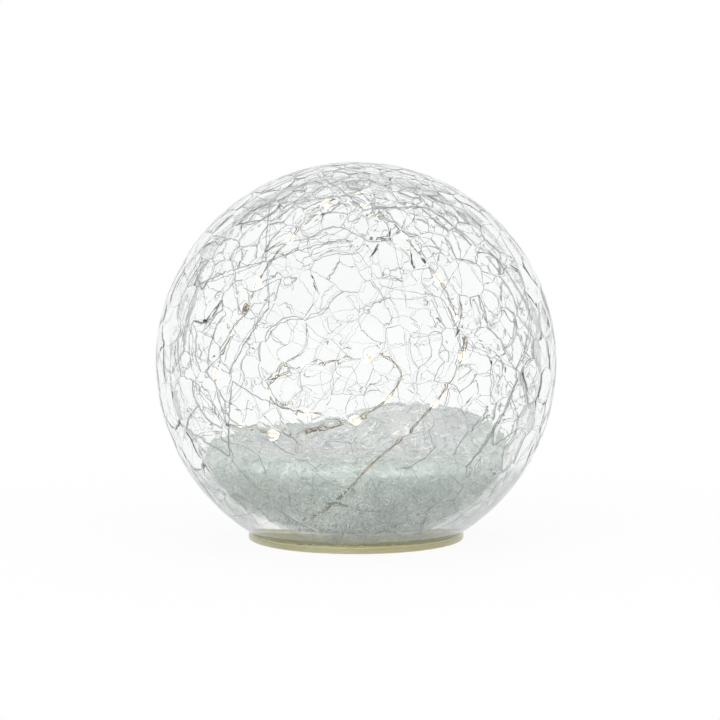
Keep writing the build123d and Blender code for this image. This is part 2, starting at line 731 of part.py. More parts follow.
def switch_slider():
    """Slider with its head in the case and its ribbed knob in the underside."""
    head_top = slider_head_z + SLIDER_HEAD_HEIGHT
    head = block(
        around(switch_x, SLIDER_HEAD_WIDTH / 2), around(0, SLIDER_HEAD_LENGTH / 2), (slider_head_z, head_top)
    )
    knob_top = floor_top_z - SWITCH_GAP
    stem = block(
        around(switch_x, SLIDER_STEM_WIDTH / 2), around(0, SLIDER_STEM_LENGTH / 2), (knob_top, slider_head_z)
    )
    knob = block(
        around(switch_x, SLIDER_HEAD_WIDTH / 2), around(0, SLIDER_HEAD_LENGTH / 2), (slider_tip_z, knob_top)
    )
    for side in (-1, 0, 1):
        groove_y = side * SLIDER_HEAD_LENGTH / 3
        groove = (around(switch_x, SLIDER_HEAD_WIDTH / 2), around(groove_y, SLIDER_RIB / 2))
        knob = knob - block(*groove, (slider_tip_z, slider_tip_z + SLIDER_RIB))
    return head + stem + knob


# Wires


def corner_radii(points):
    """Largest arc that the two runs at each corner leave room for."""
    radii = []
    for before, corner, after in zip(points, points[1:], points[2:]):
        first = Vector(*corner) - Vector(*before)
        second = Vector(*after) - Vector(*corner)
        half_turn = math.radians(first.get_angle(second) / 2)
        radii.append(ARC_SHARE * min(first.length, second.length) / math.tan(half_turn))
    return radii


def route_line(points):
    """Straight runs joined by tangent arcs."""
    return FilletPolyline(*points, radius=corner_radii(points))


def tube(points, diameter):
    """Round tube along a route."""
    path = route_line(points)
    section = Plane(origin=path @ 0, z_dir=path % 0) * Circle(diameter / 2)
    return sweep(section, path)


def lead_points(tab_x, end):
    """Route of a lead from a solder tab, through the notch in the end wall, to the board."""
    half = LEAD_DIAMETER / 2
    pocket_radius = cup_inner_radius - half - LEAD_WALL_GAP
    wall_y = bay_half_length + END_WALL
    over_z = ceiling_z - LEAD_NOTCH_HEIGHT / 2
    tab = (tab_x, wall_y + TAB_REACH / 2, cell_z + CONTACT_PLATE / 2 + half)
    points = [tab]
    if tab_x > 0:
        for degrees in LEAD_POCKET_ANGLES:
            rise = min(1.0, (degrees - LEAD_RISE_START) / LEAD_RISE_SPAN)
            angle = math.radians(degrees)
            height = tab[2] + rise * (over_z - tab[2])
            points.append((pocket_radius * math.cos(angle), pocket_radius * math.sin(angle), height))
    else:
        points.append((tab_x - LEAD_DIAMETER, wall_y + LEAD_DIAMETER, over_z - LEAD_DIAMETER))
    lead_x = board_x - LEAD_DIAMETER
    corner_x = -bay_half_width - PARTITION - LEAD_WALL_GAP / 2
    points += [
        (-bay_half_width + LEAD_NOTCH_WIDTH / 2, wall_y - half, over_z + LEAD_WALL_GAP / 2),
        (corner_x, PARTITION_HALF_LENGTH + LEAD_PAST_PARTITION, over_z),
        (lead_x - half, BOARD_HALF_LENGTH + LEAD_BEFORE_BOARD, (over_z + board_top_z) / 2 + half),
        (lead_x, BOARD_HALF_LENGTH - LEAD_ON_BOARD, board_top_z + half),
    ]
    return [(x, end * y, z) for x, y, z in points]


def radial_plane(distance):
    """Plane across the grommet's axis at a distance from the middle of the cup."""
    origin = (distance * grommet_x, distance * grommet_y, grommet_z)
    return Plane(origin=origin, z_dir=(grommet_x, grommet_y, 0))


def radial_rod(radius, start, end):
    """Cylinder along the grommet's axis."""
    return extrude(radial_plane(start) * Circle(radius), end - start)


def wire_grommet():
    """Rubber bush in the wall of the cup."""
    inner_face = cup_inner_radius - GROMMET_WALL_GAP
    outer_face = cup_outer_radius + GROMMET_WALL_GAP / 2
    start = inner_face - GROMMET_FLANGE
    end = outer_face + GROMMET_FLANGE
    bush = radial_rod(GROMMET_BODY_RADIUS, start, end)
    bush = bush + radial_rod(GROMMET_FLANGE_RADIUS, start, inner_face)
    bush = bush + radial_rod(GROMMET_FLANGE_RADIUS, outer_face, end)
    return bush - radial_rod(WIRE_DIAMETER / 2 + GROMMET_BORE_GAP, start, end)


def globe_route():
    """Route of the light wire inside the globe."""
    middle = Vector(0, 0, cavity_z)
    return [tuple(middle + Vector(*share) * cavity_radius) for share in WIRE_ROUTE_SHARES]


def wire_points():
    """Whole route of the light wire, from the board through the grommet into the globe."""
    inside = radial_plane(cup_inner_radius - WIRE_INNER_RUN).origin
    outside = radial_plane(cup_outer_radius + WIRE_OUTER_RUN).origin
    pad = (board_x - WIRE_PAD_INSET, -WIRE_PAD_OFFSET, board_top_z + WIRE_DIAMETER / 2)
    return [pad, tuple(inside), tuple(outside)] + globe_route()


def light_planes():
    """Planes across the wire at the middle of each run that carries a light."""
    route = [Vector(*point) for point in globe_route()]
    planes = []
    for run in RUN_COUNT_TO_LIGHT:
        start = route[run]
        along = route[run + 1] - start
        side = along.cross(Vector(0, 0, 1))
        planes.append(Plane(origin=start + along * 0.5, x_dir=side, z_dir=along))
    return planes


def light_chip(plane):
    """Light chip soldered to the wire."""
    rise = WIRE_DIAMETER / 2 + LED_CHIP_GAP + LED_CHIP_HEIGHT / 2
    return plane * Pos(0, rise, 0) * Box(LED_CHIP_WIDTH, LED_CHIP_HEIGHT, LED_CHIP_LENGTH)


def light_bead(plane):
    """Drop of resin around a light chip and the wire, with tapered ends."""
    bore = WIRE_DIAMETER / 2 + BEAD_BORE_GAP
    half = BEAD_LENGTH / 2
    middle = BEAD_MIDDLE / 2
    drop = turned([(bore, -half), (BEAD_RADIUS, -middle), (BEAD_RADIUS, middle), (bore, half)])
    return plane * drop - light_chip(plane)


def cavity_ball(gap):
    """Ball that keeps a gap to the inside of the globe."""
    return Pos(0, 0, cavity_z) * Sphere(cavity_radius - gap)


def heap():
    """Top of the bed, highest towards the back right."""
    heap_z = FILL_RIM_HEIGHT + HEAP_RISE - HEAP_RADIUS
    dome = Pos(HEAP_X, HEAP_Y, heap_z) * Sphere(HEAP_RADIUS)
    return dome & rod(cavity_radius, cup_top_z, cavity_z) & cavity_ball(FILL_WALL_GAP + FILL_RIM_ROUND)


def snow_fill():
    """Bed of granulate on the cup, with a heap on top and a groove where the wire lies in it."""
    bottom_z = mouth_top_z + FILL_BOTTOM_RISE
    foot = rod(cavity_radius, bottom_z, bottom_z + FILL_FOOT_HEIGHT) & cavity_ball(FILL_CLEARANCE)
    body = rod(cavity_radius, bottom_z, FILL_RIM_HEIGHT) & cavity_ball(FILL_WALL_GAP)
    rim = body.edges().filter_by(GeomType.CIRCLE).sort_by(Axis.Z)[-1]
    bed = fillet(rim, FILL_RIM_ROUND) + foot + heap()
    bed = bed - rod(cup_outer_radius + FILL_CLEARANCE, bottom_z, cup_top_z + FILL_CLEARANCE)
    bed = bed - rod(collar_radius + FILL_CLEARANCE, seat_z, collar_top_z + FILL_CLEARANCE)
    bush_end = cup_outer_radius + GROMMET_WALL_GAP + GROMMET_FLANGE + FILL_CLEARANCE
    bed = bed - radial_rod(GROMMET_FLANGE_RADIUS + FILL_CLEARANCE, cup_inner_radius, bush_end)
    bed = bed - tube(wire_points()[1:], WIRE_DIAMETER + 2 * WIRE_TUNNEL_GAP)
    for plane in light_planes():
        bed = bed - plane * Cylinder(BEAD_RADIUS + FILL_CLEARANCE, BEAD_LENGTH + 2 * FILL_CLEARANCE)
    return bed


def nodes():
    """Every piece under its name."""
    pieces = {
        "glass_globe": glass_globe(),
        "seal_ring": seal_ring(),
        "foot_pads": foot_pads(),
        "base_housing": base_housing(),
        "battery_door": battery_door(),
        "door_gasket": door_gasket(),
        "door_hinge_pin": door_hinge_pin(),
        "door_screw": door_screw(),
        "negative_terminal": negative_terminal(),
        "positive_terminal": positive_terminal(),
        "rear_bridge": rear_bridge(),
        "front_bridge": front_bridge(),
        "timer_board": timer_board(),
        "timer_chip": timer_chip(),
        "board_screws": board_screws(),
        "switch_case": switch_case(),
        "switch_slider": switch_slider(),
        "negative_lead": tube(lead_points(-cell_pitch, -1), LEAD_DIAMETER),
        "positive_lead": tube(lead_points(cell_pitch, 1), LEAD_DIAMETER),
        "wire_grommet": wire_grommet(),
        "led_wire": tube(wire_points(), WIRE_DIAMETER),
        "led_chips": group(light_chip(plane) for plane in light_planes()),
        "led_beads": group(light_bead(plane) for plane in light_planes()),
        "snow_fill": snow_fill(),
    }
    for name, place in cell_places().items():
        pieces[name] = cell(*place)
    return pieces


def report_route(name, points, diameter, solid):
    """Print the arcs of a route and compare the tube's volume with its section times its length."""
    section = math.pi * diameter**2 / 4
    length = route_line(points).length
    print(name, "radii", [round(radius, 1) for radius in corner_radii(points)])
    print(name, "length", round(length, 1), "volume ratio", round(solid.volume / (section * length), 4))


def main():
    """Write one file for each piece."""
    os.makedirs("parts", exist_ok=True)
    pieces = nodes()
    for name, solid in pieces.items():
        export_step(solid, f"parts/{name}.step")
    report_route("led_wire", wire_points(), WIRE_DIAMETER, pieces["led_wire"])
    report_route("negative_lead", lead_points(-cell_pitch, -1), LEAD_DIAMETER, pieces["negative_lead"])
    report_route("positive_lead", lead_points(cell_pitch, 1), LEAD_DIAMETER, pieces["positive_lead"])


if __name__ == "__main__":
    main()
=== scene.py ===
"""Looks of a crackled glass globe light that stands on a thin silicone ring."""

import logging
import math
import random
from dataclasses import dataclass, field
from enum import Enum
from functools import cache

import bmesh
import bpy
import numpy as np
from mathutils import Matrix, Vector, noise


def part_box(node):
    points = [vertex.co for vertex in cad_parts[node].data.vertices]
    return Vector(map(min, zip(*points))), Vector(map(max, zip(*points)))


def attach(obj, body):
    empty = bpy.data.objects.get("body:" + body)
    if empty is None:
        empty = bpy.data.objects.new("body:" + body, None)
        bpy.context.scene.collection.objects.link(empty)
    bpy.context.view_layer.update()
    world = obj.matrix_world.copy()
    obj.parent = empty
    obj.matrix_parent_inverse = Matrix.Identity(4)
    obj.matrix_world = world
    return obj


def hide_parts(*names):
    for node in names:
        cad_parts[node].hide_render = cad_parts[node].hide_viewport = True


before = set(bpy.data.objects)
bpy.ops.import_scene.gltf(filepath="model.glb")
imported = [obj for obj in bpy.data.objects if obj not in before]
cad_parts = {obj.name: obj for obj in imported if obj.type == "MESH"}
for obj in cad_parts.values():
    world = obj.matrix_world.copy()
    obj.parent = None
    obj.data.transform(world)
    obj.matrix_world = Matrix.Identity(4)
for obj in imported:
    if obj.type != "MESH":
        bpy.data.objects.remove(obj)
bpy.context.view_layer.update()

LOG = logging.getLogger("globe_light")

Colour = tuple[float, float, float]
Point = tuple[float, float, float]
Socket = bpy.types.NodeSocket
Link = tuple[bpy.types.Node, str | int, bpy.types.Node, str | int]

MM = 0.001
TINY = 1e-7
WHITE = (1.0, 1.0, 1.0, 1.0)
FLOAT = "NodeSocketFloat"
COLOUR = "NodeSocketColor"

# Frame of the photograph, in pixels
PHOTO_SIDE = 720
GLOBE_MIDDLE_PX = (356.1, 362.3)
GLOBE_RADIUS_PX = 200.6

# Bodies that the pieces ride on
LAMP = "lamp"

# Inside of the globe
GLASS_WALL = 5.5 * MM
CAVITY_LIFT = 1.0 * MM
MOUTH_RADIUS = 32.03 * MM

# Cup of the base and collar of the seal, which stand in the mouth
CUP_RADIUS = 31.03 * MM
COLLAR_RADIUS = 31.93 * MM

# Start of the light wire between the board and the globe, in metres
WIRE_START: list[Point] = [
    (-0.01940, -0.00720, 0.01015),
    (-0.02081, -0.01201, 0.01210),
    (-0.03233, -0.01866, 0.01210),
]

# Rest of the light wire, as shares of the globe's inner radius from the middle of its inside
WIRE_ROUTE_SHARES: list[Point] = [
    (-0.39, -0.43, -0.80),
    (-0.19, -0.63, -0.73),
    (-0.04, -0.78, -0.58),
    (0.07, -0.85, -0.44),
    (0.29, -0.72, -0.29),
    (0.52, -0.39, -0.05),
    (0.59, -0.13, 0.12),
    (0.52, 0.07, 0.31),
    (0.36, 0.22, 0.53),
    (0.16, 0.30, 0.77),
    (-0.07, 0.23, 0.90),
    (-0.27, 0.07, 0.76),
    (-0.45, -0.04, 0.54),
    (-0.60, -0.06, 0.28),
    (-0.73, 0.03, 0.03),
    (-0.77, 0.07, -0.21),
    (-0.68, -0.10, -0.32),
    (-0.53, -0.30, -0.35),
    (-0.33, -0.42, -0.36),
    (-0.12, -0.40, -0.32),
    (0.10, -0.27, -0.25),
    (0.23, -0.12, -0.14),
    (0.24, -0.01, -0.05),
    (0.14, 0.06, 0.02),
    (-0.01, 0.07, 0.00),
    (-0.19, 0.03, -0.03),
    (-0.37, 0.01, -0.06),
    (-0.49, 0.09, -0.15),
    (-0.48, 0.21, -0.26),
    (-0.36, 0.30, -0.32),
    (-0.19, 0.34, -0.34),
]

# Count of runs of that route before each run that carries a light at its middle
RUN_COUNT_TO_LIGHT = [4, 5, 6, 7, 8, 9, 10, 11, 12, 13, 14, 16, 17, 19, 20, 23, 25, 27, 29]


class GlobeMeasure:
    """Places of the globe, read from the frame."""

    def __init__(self) -> None:
        """Read the globe's box and work out its two spheres."""
        low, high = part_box("glass_globe")
        self.seat_z: float = low.z
        self.outer_radius: float = (high.x - low.x) / 2
        self.outer_z: float = high.z - self.outer_radius
        self.inner_radius: float = self.outer_radius - GLASS_WALL
        self.inner_z: float = self.outer_z + CAVITY_LIFT
        self.mouth_z: float = self.inner_z - math.sqrt(self.inner_radius**2 - MOUTH_RADIUS**2)

    def middle(self) -> np.ndarray:
        """Middle of the inside."""
        return np.array((0.0, 0.0, self.inner_z))


def unit(vectors: np.ndarray) -> np.ndarray:
    """Scale vectors to length one.

    Args:
        vectors: One vector, or rows of vectors.

    Returns:
        The same directions with length one.
    """
    return vectors / np.linalg.norm(vectors, axis=-1, keepdims=True)


def turns(count: int) -> list[float]:
    """Even angles all round."""
    return [2 * math.pi * k / count for k in range(count)]


def round_point(radius: float, turn: float, height: float) -> Point:
    """Point at a radius and an angle around the upright axis."""
    return (radius * math.cos(turn), radius * math.sin(turn), height)


def smooth_step(value: float) -> float:
    """Smooth rise from 0 to 1 of a value between 0 and 1."""
    share = min(1.0, max(0.0, value))
    return share * share * (3 - 2 * share)


def add_object(name: str, mesh: bpy.types.Mesh, material: bpy.types.Material) -> bpy.types.Object:
    """Put a mesh into the scene with one material.

    Args:
        name: Name of the new piece.
        mesh: Finished mesh, in its place.
        material: Finish of the piece.

    Returns:
        The new object.
    """
    piece = bpy.data.objects.new(name, mesh)
    mesh.name = name
    mesh.materials.clear()
    mesh.materials.append(material)
    bpy.context.scene.collection.objects.link(piece)
    return piece


def seat_piece(piece: bpy.types.Object, slot: str, *nodes: str, body: str = LAMP) -> None:
    """Let a piece ride on a body in place of some nodes.

    Args:
        piece: Finished piece.
        slot: Not used.
        nodes: Nodes that the piece stands for.
        body: Body that carries the piece.
    """
    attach(piece, body)
    if nodes:
        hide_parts(*nodes)
    LOG.info("piece %s with %d faces", piece.name, len(piece.data.polygons))


def smooth_faces(mesh: bpy.types.Mesh) -> None:
    """Shade every face of a mesh smooth."""
    mesh.polygons.foreach_set("use_smooth", [True] * len(mesh.polygons))


def evaluated_mesh(piece: bpy.types.Object) -> bpy.types.Mesh:
    """Plain mesh of an object with its modifiers or its curve worked out."""
    graph = bpy.context.evaluated_depsgraph_get()
    return bpy.data.meshes.new_from_object(piece.evaluated_get(graph))


def add_spline(curve: bpy.types.Curve, kind: str, places: list[Vector] | np.ndarray) -> bpy.types.Spline:
    """Add a spline to a curve.

    Args:
        curve: Curve that it goes into.
        kind: Blender's name of the spline type.
        places: Its points.

    Returns:
        The new spline.
    """
    spline = curve.splines.new(kind)
    spline.points.add(len(places) - 1)
    for point, place in zip(spline.points, places):
        point.co = (*place, 1.0)
    return spline


def curve_mesh(curve: bpy.types.Curve) -> bpy.types.Mesh:
    """Plain mesh of a curve.

    Args:
        curve: Finished curve.

    Returns:
        The mesh.
    """
    carrier = bpy.data.objects.new(curve.name, curve)
    bpy.context.scene.collection.objects.link(carrier)
    mesh = evaluated_mesh(carrier)
    bpy.data.objects.remove(carrier)
    return mesh


class NodeSheet:
    """Adds and joins the nodes of one material or node group."""

    def __init__(self, tree: bpy.types.NodeTree) -> None:
        """Keep the tree that the nodes go into."""
        self.tree = tree

    def add(self, kind: str, **settings: object) -> bpy.types.Node:
        """Add a node.

        Args:
            kind: Blender's name of the node type.
            settings: Properties of the node, or defaults of its inputs by name with _ for a space.

        Returns:
            The new node.
        """
        node = self.tree.nodes.new(kind)
        for key, value in settings.items():
            if hasattr(node, key):
                setattr(node, key, value)
            else:
                node.inputs[key.replace("_", " ")].default_value = value
        return node

    def join(self, start: Socket, end: Socket) -> None:
        """Link an output to an input."""
        self.tree.links.new(start, end)

    def link(self, *rows: Link) -> None:
        """Link outputs to inputs.

        Args:
            rows: A node, its output, the next node and its input, with sockets by name or number.
        """
        for start, output, end, entry in rows:
            self.join(start.outputs[output], end.inputs[entry])

    def patches(self, first: Colour, second: Colour, scale: float, stretch: float = 1.0) -> bpy.types.Node:
        """Add soft patches of two colours.

        Args:
            first: Colour of the ground.
            second: Colour of the patches.
            scale: Scale of the patches.
            stretch: How much finer they are upright.

        Returns:
            The group node.
        """
        node = self.add("ShaderNodeGroup", node_tree=mottle_group(), Scale=scale, Stretch=stretch)
        node.inputs["First"].default_value = rgba(first)
        node.inputs["Second"].default_value = rgba(second)
        return node


def new_group(name: str, inputs: dict[str, tuple[str, object]], outputs: dict[str, str]) -> NodeSheet:
    """Start a shader node group.

    Args:
        name: Name of the group.
        inputs: Socket type and default of each input.
        outputs: Socket type of each output.

    Returns:
        Sheet of the new group, with nodes named Inputs and Outputs.
    """
    tree = bpy.data.node_groups.new(name, "ShaderNodeTree")
    for label, (kind, default) in inputs.items():
        socket = tree.interface.new_socket(label, in_out="INPUT", socket_type=kind)
        socket.default_value = default
    for label, kind in outputs.items():
        tree.interface.new_socket(label, in_out="OUTPUT", socket_type=kind)
    sheet = NodeSheet(tree)
    sheet.add("NodeGroupInput").name = "Inputs"
    sheet.add("NodeGroupOutput").name = "Outputs"
    return sheet


@cache
def mottle_group() -> bpy.types.NodeTree:
    """Soft patches of two colours, made once.

    Returns:
        Group with the patches' colour and mask.
    """
    tones = {"First": (COLOUR, WHITE), "Second": (COLOUR, WHITE)}
    sizes = {"Scale": (FLOAT, 100.0), "Stretch": (FLOAT, 1.0)}
    sheet = new_group("soft_patches", tones | sizes, {"Color": COLOUR, "Mask": FLOAT})
    inputs = sheet.tree.nodes["Inputs"]
    outputs = sheet.tree.nodes["Outputs"]
    place = sheet.add("ShaderNodeTexCoord")
    upright = sheet.add("ShaderNodeCombineXYZ", X=1.0, Y=1.0)
    pull = sheet.add("ShaderNodeVectorMath", operation="MULTIPLY")
    noise = sheet.add("ShaderNodeTexNoise", Detail=6.0, Roughness=0.62)
    spread = sheet.add("ShaderNodeMapRange", From_Min=0.3, From_Max=0.7)
    mix = sheet.add("ShaderNodeMix", data_type="RGBA")
    sheet.link(
        (inputs, "Stretch", upright, "Z"), (place, "Object", pull, 0), (upright, "Vector", pull, 1),
        (pull, "Vector", noise, "Vector"), (inputs, "Scale", noise, "Scale"),
        (noise, "Fac", spread, "Value"), (spread, "Result", mix, 0), (inputs, "First", mix, 6),
        (inputs, "Second", mix, 7), (mix, 2, outputs, "Color"), (spread, "Result", outputs, "Mask"),
    )
    return sheet.tree


@cache
def grain_group() -> bpy.types.NodeTree:
    """Fine moulded grain, made once.

    Returns:
        Group with the grain's height.
    """
    sheet = new_group("moulded_grain", {"Scale": (FLOAT, 900.0), "Stretch": (FLOAT, 1.0)}, {"Height": FLOAT})
    inputs = sheet.tree.nodes["Inputs"]
    outputs = sheet.tree.nodes["Outputs"]
    place = sheet.add("ShaderNodeTexCoord")
    sides = sheet.add("ShaderNodeCombineXYZ", X=1.0, Z=1.0)
    pull = sheet.add("ShaderNodeVectorMath", operation="MULTIPLY")
    cells = sheet.add("ShaderNodeTexVoronoi", feature="SMOOTH_F1", Smoothness=0.6)
    noise = sheet.add("ShaderNodeTexNoise", Detail=5.0, Roughness=0.6)
    both = sheet.add("ShaderNodeMath", operation="ADD")
    sheet.link((inputs, "Stretch", sides, "Y"), (place, "Object", pull, 0), (sides, "Vector", pull, 1))
    for texture in (cells, noise):
        sheet.link((pull, "Vector", texture, "Vector"), (inputs, "Scale", texture, "Scale"))
    sheet.link((cells, "Distance", both, 0), (noise, "Fac", both, 1), (both, "Value", outputs, "Height"))
    return sheet.tree


@cache
def crumple_group() -> bpy.types.NodeTree:
    """Thin winding lines as on crumpled film, made once.

    Returns:
        Group with the lines' mask.
    """
    sheet = new_group("crumple_lines", {"Scale": (FLOAT, 100.0), "Width": (FLOAT, 0.02)}, {"Mask": FLOAT})
    inputs = sheet.tree.nodes["Inputs"]
    outputs = sheet.tree.nodes["Outputs"]
    place = sheet.add("ShaderNodeTexCoord")
    noise = sheet.add("ShaderNodeTexNoise", Detail=4.0, Roughness=0.55, Distortion=0.5)
    away = sheet.add("ShaderNodeMath", operation="SUBTRACT")
    away.inputs[1].default_value = 0.5
    size = sheet.add("ShaderNodeMath", operation="ABSOLUTE")
    line = sheet.add("ShaderNodeMapRange", To_Min=1.0, To_Max=0.0)
    sheet.link(
        (place, "Object", noise, "Vector"), (inputs, "Scale", noise, "Scale"), (noise, "Fac", away, 0),
        (away, "Value", size, 0), (size, "Value", line, "Value"), (inputs, "Width", line, "From Max"),
        (line, "Result", outputs, "Mask"),
    )
    return sheet.tree


def rgba(colour: Colour) -> tuple[float, float, float, float]:
    """Colour with full cover."""
    return (*colour, 1.0)


def new_material(name: str) -> tuple[bpy.types.Material, NodeSheet, bpy.types.Node]:
    """Start a material.

    Args:
        name: Name of the material.

    Returns:
        The material, its sheet and its Principled shader.
    """
    material = bpy.data.materials.new(name)
    material.use_nodes = True
    sheet = NodeSheet(material.node_tree)
    return material, sheet, material.node_tree.nodes["Principled BSDF"]


@dataclass(frozen=True)
class Finish:
    """Solid finish with soft patches of colour and a fine grain."""

    name: str
    first: Colour
    second: Colour
    patch_scale: float = 120.0
    patch_stretch: float = 1.0
    rough_low: float = 0.35
    rough_high: float = 0.55
    grain_scale: float = 1500.0
    grain_stretch: float = 1.0
    grain_height: float = 0.02 * MM
    metallic: float = 0.0
    coat: float = 0.0
    subsurface: float = 0.0
    subsurface_depth: float = 2.0 * MM
    subsurface_tint: Colour = (1.0, 0.95, 0.6)

    def material(self) -> bpy.types.Material:
        """Material of the finish.

        Returns:
            The material.
        """
        material, sheet, shader = new_material(self.name)
        colour, mask = self._colour(sheet)
        rough = sheet.add("ShaderNodeMapRange", To_Min=self.rough_low, To_Max=self.rough_high)
        grain = sheet.add(
            "ShaderNodeGroup", node_tree=grain_group(), Scale=self.grain_scale, Stretch=self.grain_stretch
        )
        bump = sheet.add("ShaderNodeBump", Strength=0.6, Distance=self.grain_height)
        sheet.join(colour, shader.inputs["Base Color"])
        sheet.join(mask, rough.inputs["Value"])
        sheet.link(
            (rough, "Result", shader, "Roughness"), (grain, "Height", bump, "Height"),
            (bump, "Normal", shader, "Normal"),
        )
        shader.inputs["Metallic"].default_value = self.metallic
        shader.inputs["Coat Weight"].default_value = self.coat
        shader.inputs["Subsurface Weight"].default_value = self.subsurface
        shader.inputs["Subsurface Scale"].default_value = self.subsurface_depth
        shader.inputs["Subsurface Radius"].default_value = self.subsurface_tint
        return material

    def _colour(self, sheet: NodeSheet) -> tuple[Socket, Socket]:
        """Add the patches.

        Args:
            sheet: Node sheet of the material.

        Returns:
            Their colour and their mask.
        """
        patches = sheet.patches(self.first, self.second, self.patch_scale, self.patch_stretch)
        return patches.outputs["Color"], patches.outputs["Mask"]


@dataclass(frozen=True)
class RingPaintedLightFinish(Finish):
    """Silicone whose seat under the glass is kept paler than its darkened outer face: painted light for what
    the translucent silicone carries to the seat.
    """

    # Painted light: this tone darkens the outer face, so the seat under the glass stays paler
    face: Colour = (0.65, 0.65, 0.66)
    face_top: float = 2.0 * MM
    seat_z: float = 2.5 * MM

    def _colour(self, sheet: NodeSheet) -> tuple[Socket, Socket]:
        """Add the patches and darken them on the outer face, so that the seat stays paler as painted light.

        Args:
            sheet: Node sheet of the material.

        Returns:
            Their colour and their mask.
        """
        colour, mask = super()._colour(sheet)
        place = sheet.add("ShaderNodeTexCoord")
        axes = sheet.add("ShaderNodeSeparateXYZ")
        low = sheet.add("ShaderNodeMapRange", From_Min=self.seat_z, From_Max=self.face_top)
        painted_light_mix = sheet.add("ShaderNodeMix", data_type="RGBA", blend_type="MULTIPLY")
        painted_light_mix.inputs[7].default_value = rgba(self.face)
        sheet.link(
            (place, "Object", axes, "Vector"), (axes, "Z", low, "Value"), (low, "Result", painted_light_mix, 0),
        )
        sheet.join(colour, painted_light_mix.inputs[6])
        return painted_light_mix.outputs[2], mask


class CellEnd(Enum):
    """End of a cell that is positive."""

    REAR = "rear"
    FRONT = "front"


@dataclass(frozen=True)
class CellSleeve(Finish):
    """Printed sleeve of a cell, with a band at the positive end and bare metal ends."""

    node: str = "battery_left"
    end: CellEnd = CellEnd.REAR
    body: Colour = (0.03, 0.05, 0.045)
    band: Colour = (0.50, 0.33, 0.09)
    bare: Colour = (0.56, 0.55, 0.53)
    bare_share: float = 0.02
    band_start: float = 0.70

    def _colour(self, sheet: NodeSheet) -> tuple[Socket, Socket]:
        """Add the zones along the cell, with faint patches over them.

        Args:
            sheet: Node sheet of the material.

        Returns:
            The colour, and the mask of the patches.
        """
        patches, mask = super()._colour(sheet)
        low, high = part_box(self.node)
        ends = (low.y, high.y) if self.end is CellEnd.REAR else (high.y, low.y)
        place = sheet.add("ShaderNodeTexCoord")
        axes = sheet.add("ShaderNodeSeparateXYZ")
        along = sheet.add("ShaderNodeMapRange", From_Min=ends[0], From_Max=ends[1])
        zones = sheet.add("ShaderNodeValToRGB")
        zones.color_ramp.interpolation = "CONSTANT"
        zones.color_ramp.elements[0].color = rgba(self.bare)
        zones.color_ramp.elements[1].position = 1 - self.bare_share
        zones.color_ramp.elements[1].color = rgba(self.bare)
        zones.color_ramp.elements.new(self.bare_share).color = rgba(self.body)
        zones.color_ramp.elements.new(self.band_start).color = rgba(self.band)
        both = sheet.add("ShaderNodeMix", data_type="RGBA", blend_type="MULTIPLY")
        both.inputs[0].default_value = 1.0
        sheet.link(
            (place, "Object", axes, "Vector"), (axes, "Y", along, "Value"),
            (along, "Result", zones, "Fac"), (zones, "Color", both, 6),
        )
        sheet.join(patches, both.inputs[7])
        return both.outputs[2], mask


@dataclass(frozen=True)
class ClearGlass:
    """Clear glass with faint waves and a grey-green body."""

    name: str = "clear_glass"
    tint_first: Colour = (1.0, 1.0, 1.0)
    tint_second: Colour = (0.985, 0.99, 0.988)
    tint_scale: float = 45.0
    index: float = 1.45
    wave_scale: float = 38.0
    wave_height: float = 0.10 * MM
    body: Colour = (0.55, 0.72, 0.70)
    body_density: float = 4.0
    shadow: Colour = (0.93, 0.95, 0.945)

    def material(self) -> bpy.types.Material:
        """Glass that lets the lamps' light through to what is inside.

        Returns:
            The material.
        """
        material, sheet, shader = new_material(self.name)
        shader.inputs["Transmission Weight"].default_value = 1.0
        shader.inputs["Roughness"].default_value = 0.0
        shader.inputs["IOR"].default_value = self.index
        patches = sheet.patches(self.tint_first, self.tint_second, self.tint_scale)
        place = sheet.add("ShaderNodeTexCoord")
        waves = sheet.add("ShaderNodeTexNoise", Scale=self.wave_scale, Detail=2.0)
        bump = sheet.add("ShaderNodeBump", Strength=0.35, Distance=self.wave_height)
        path = sheet.add("ShaderNodeLightPath")
        clear = sheet.add("ShaderNodeBsdfTransparent", Color=rgba(self.shadow))
        mix = sheet.add("ShaderNodeMixShader")
        absorb = sheet.add("ShaderNodeVolumeAbsorption", Color=rgba(self.body), Density=self.body_density)
        output = sheet.tree.nodes["Material Output"]
        sheet.link(
            (patches, "Color", shader, "Base Color"), (place, "Object", waves, "Vector"),
            (waves, "Fac", bump, "Height"), (bump, "Normal", shader, "Normal"),
            (path, "Is Shadow Ray", mix, 0), (shader, "BSDF", mix, 1), (clear, "BSDF", mix, 2),
            (mix, "Shader", output, "Surface"), (absorb, "Volume", output, "Volume"),
        )
        return material


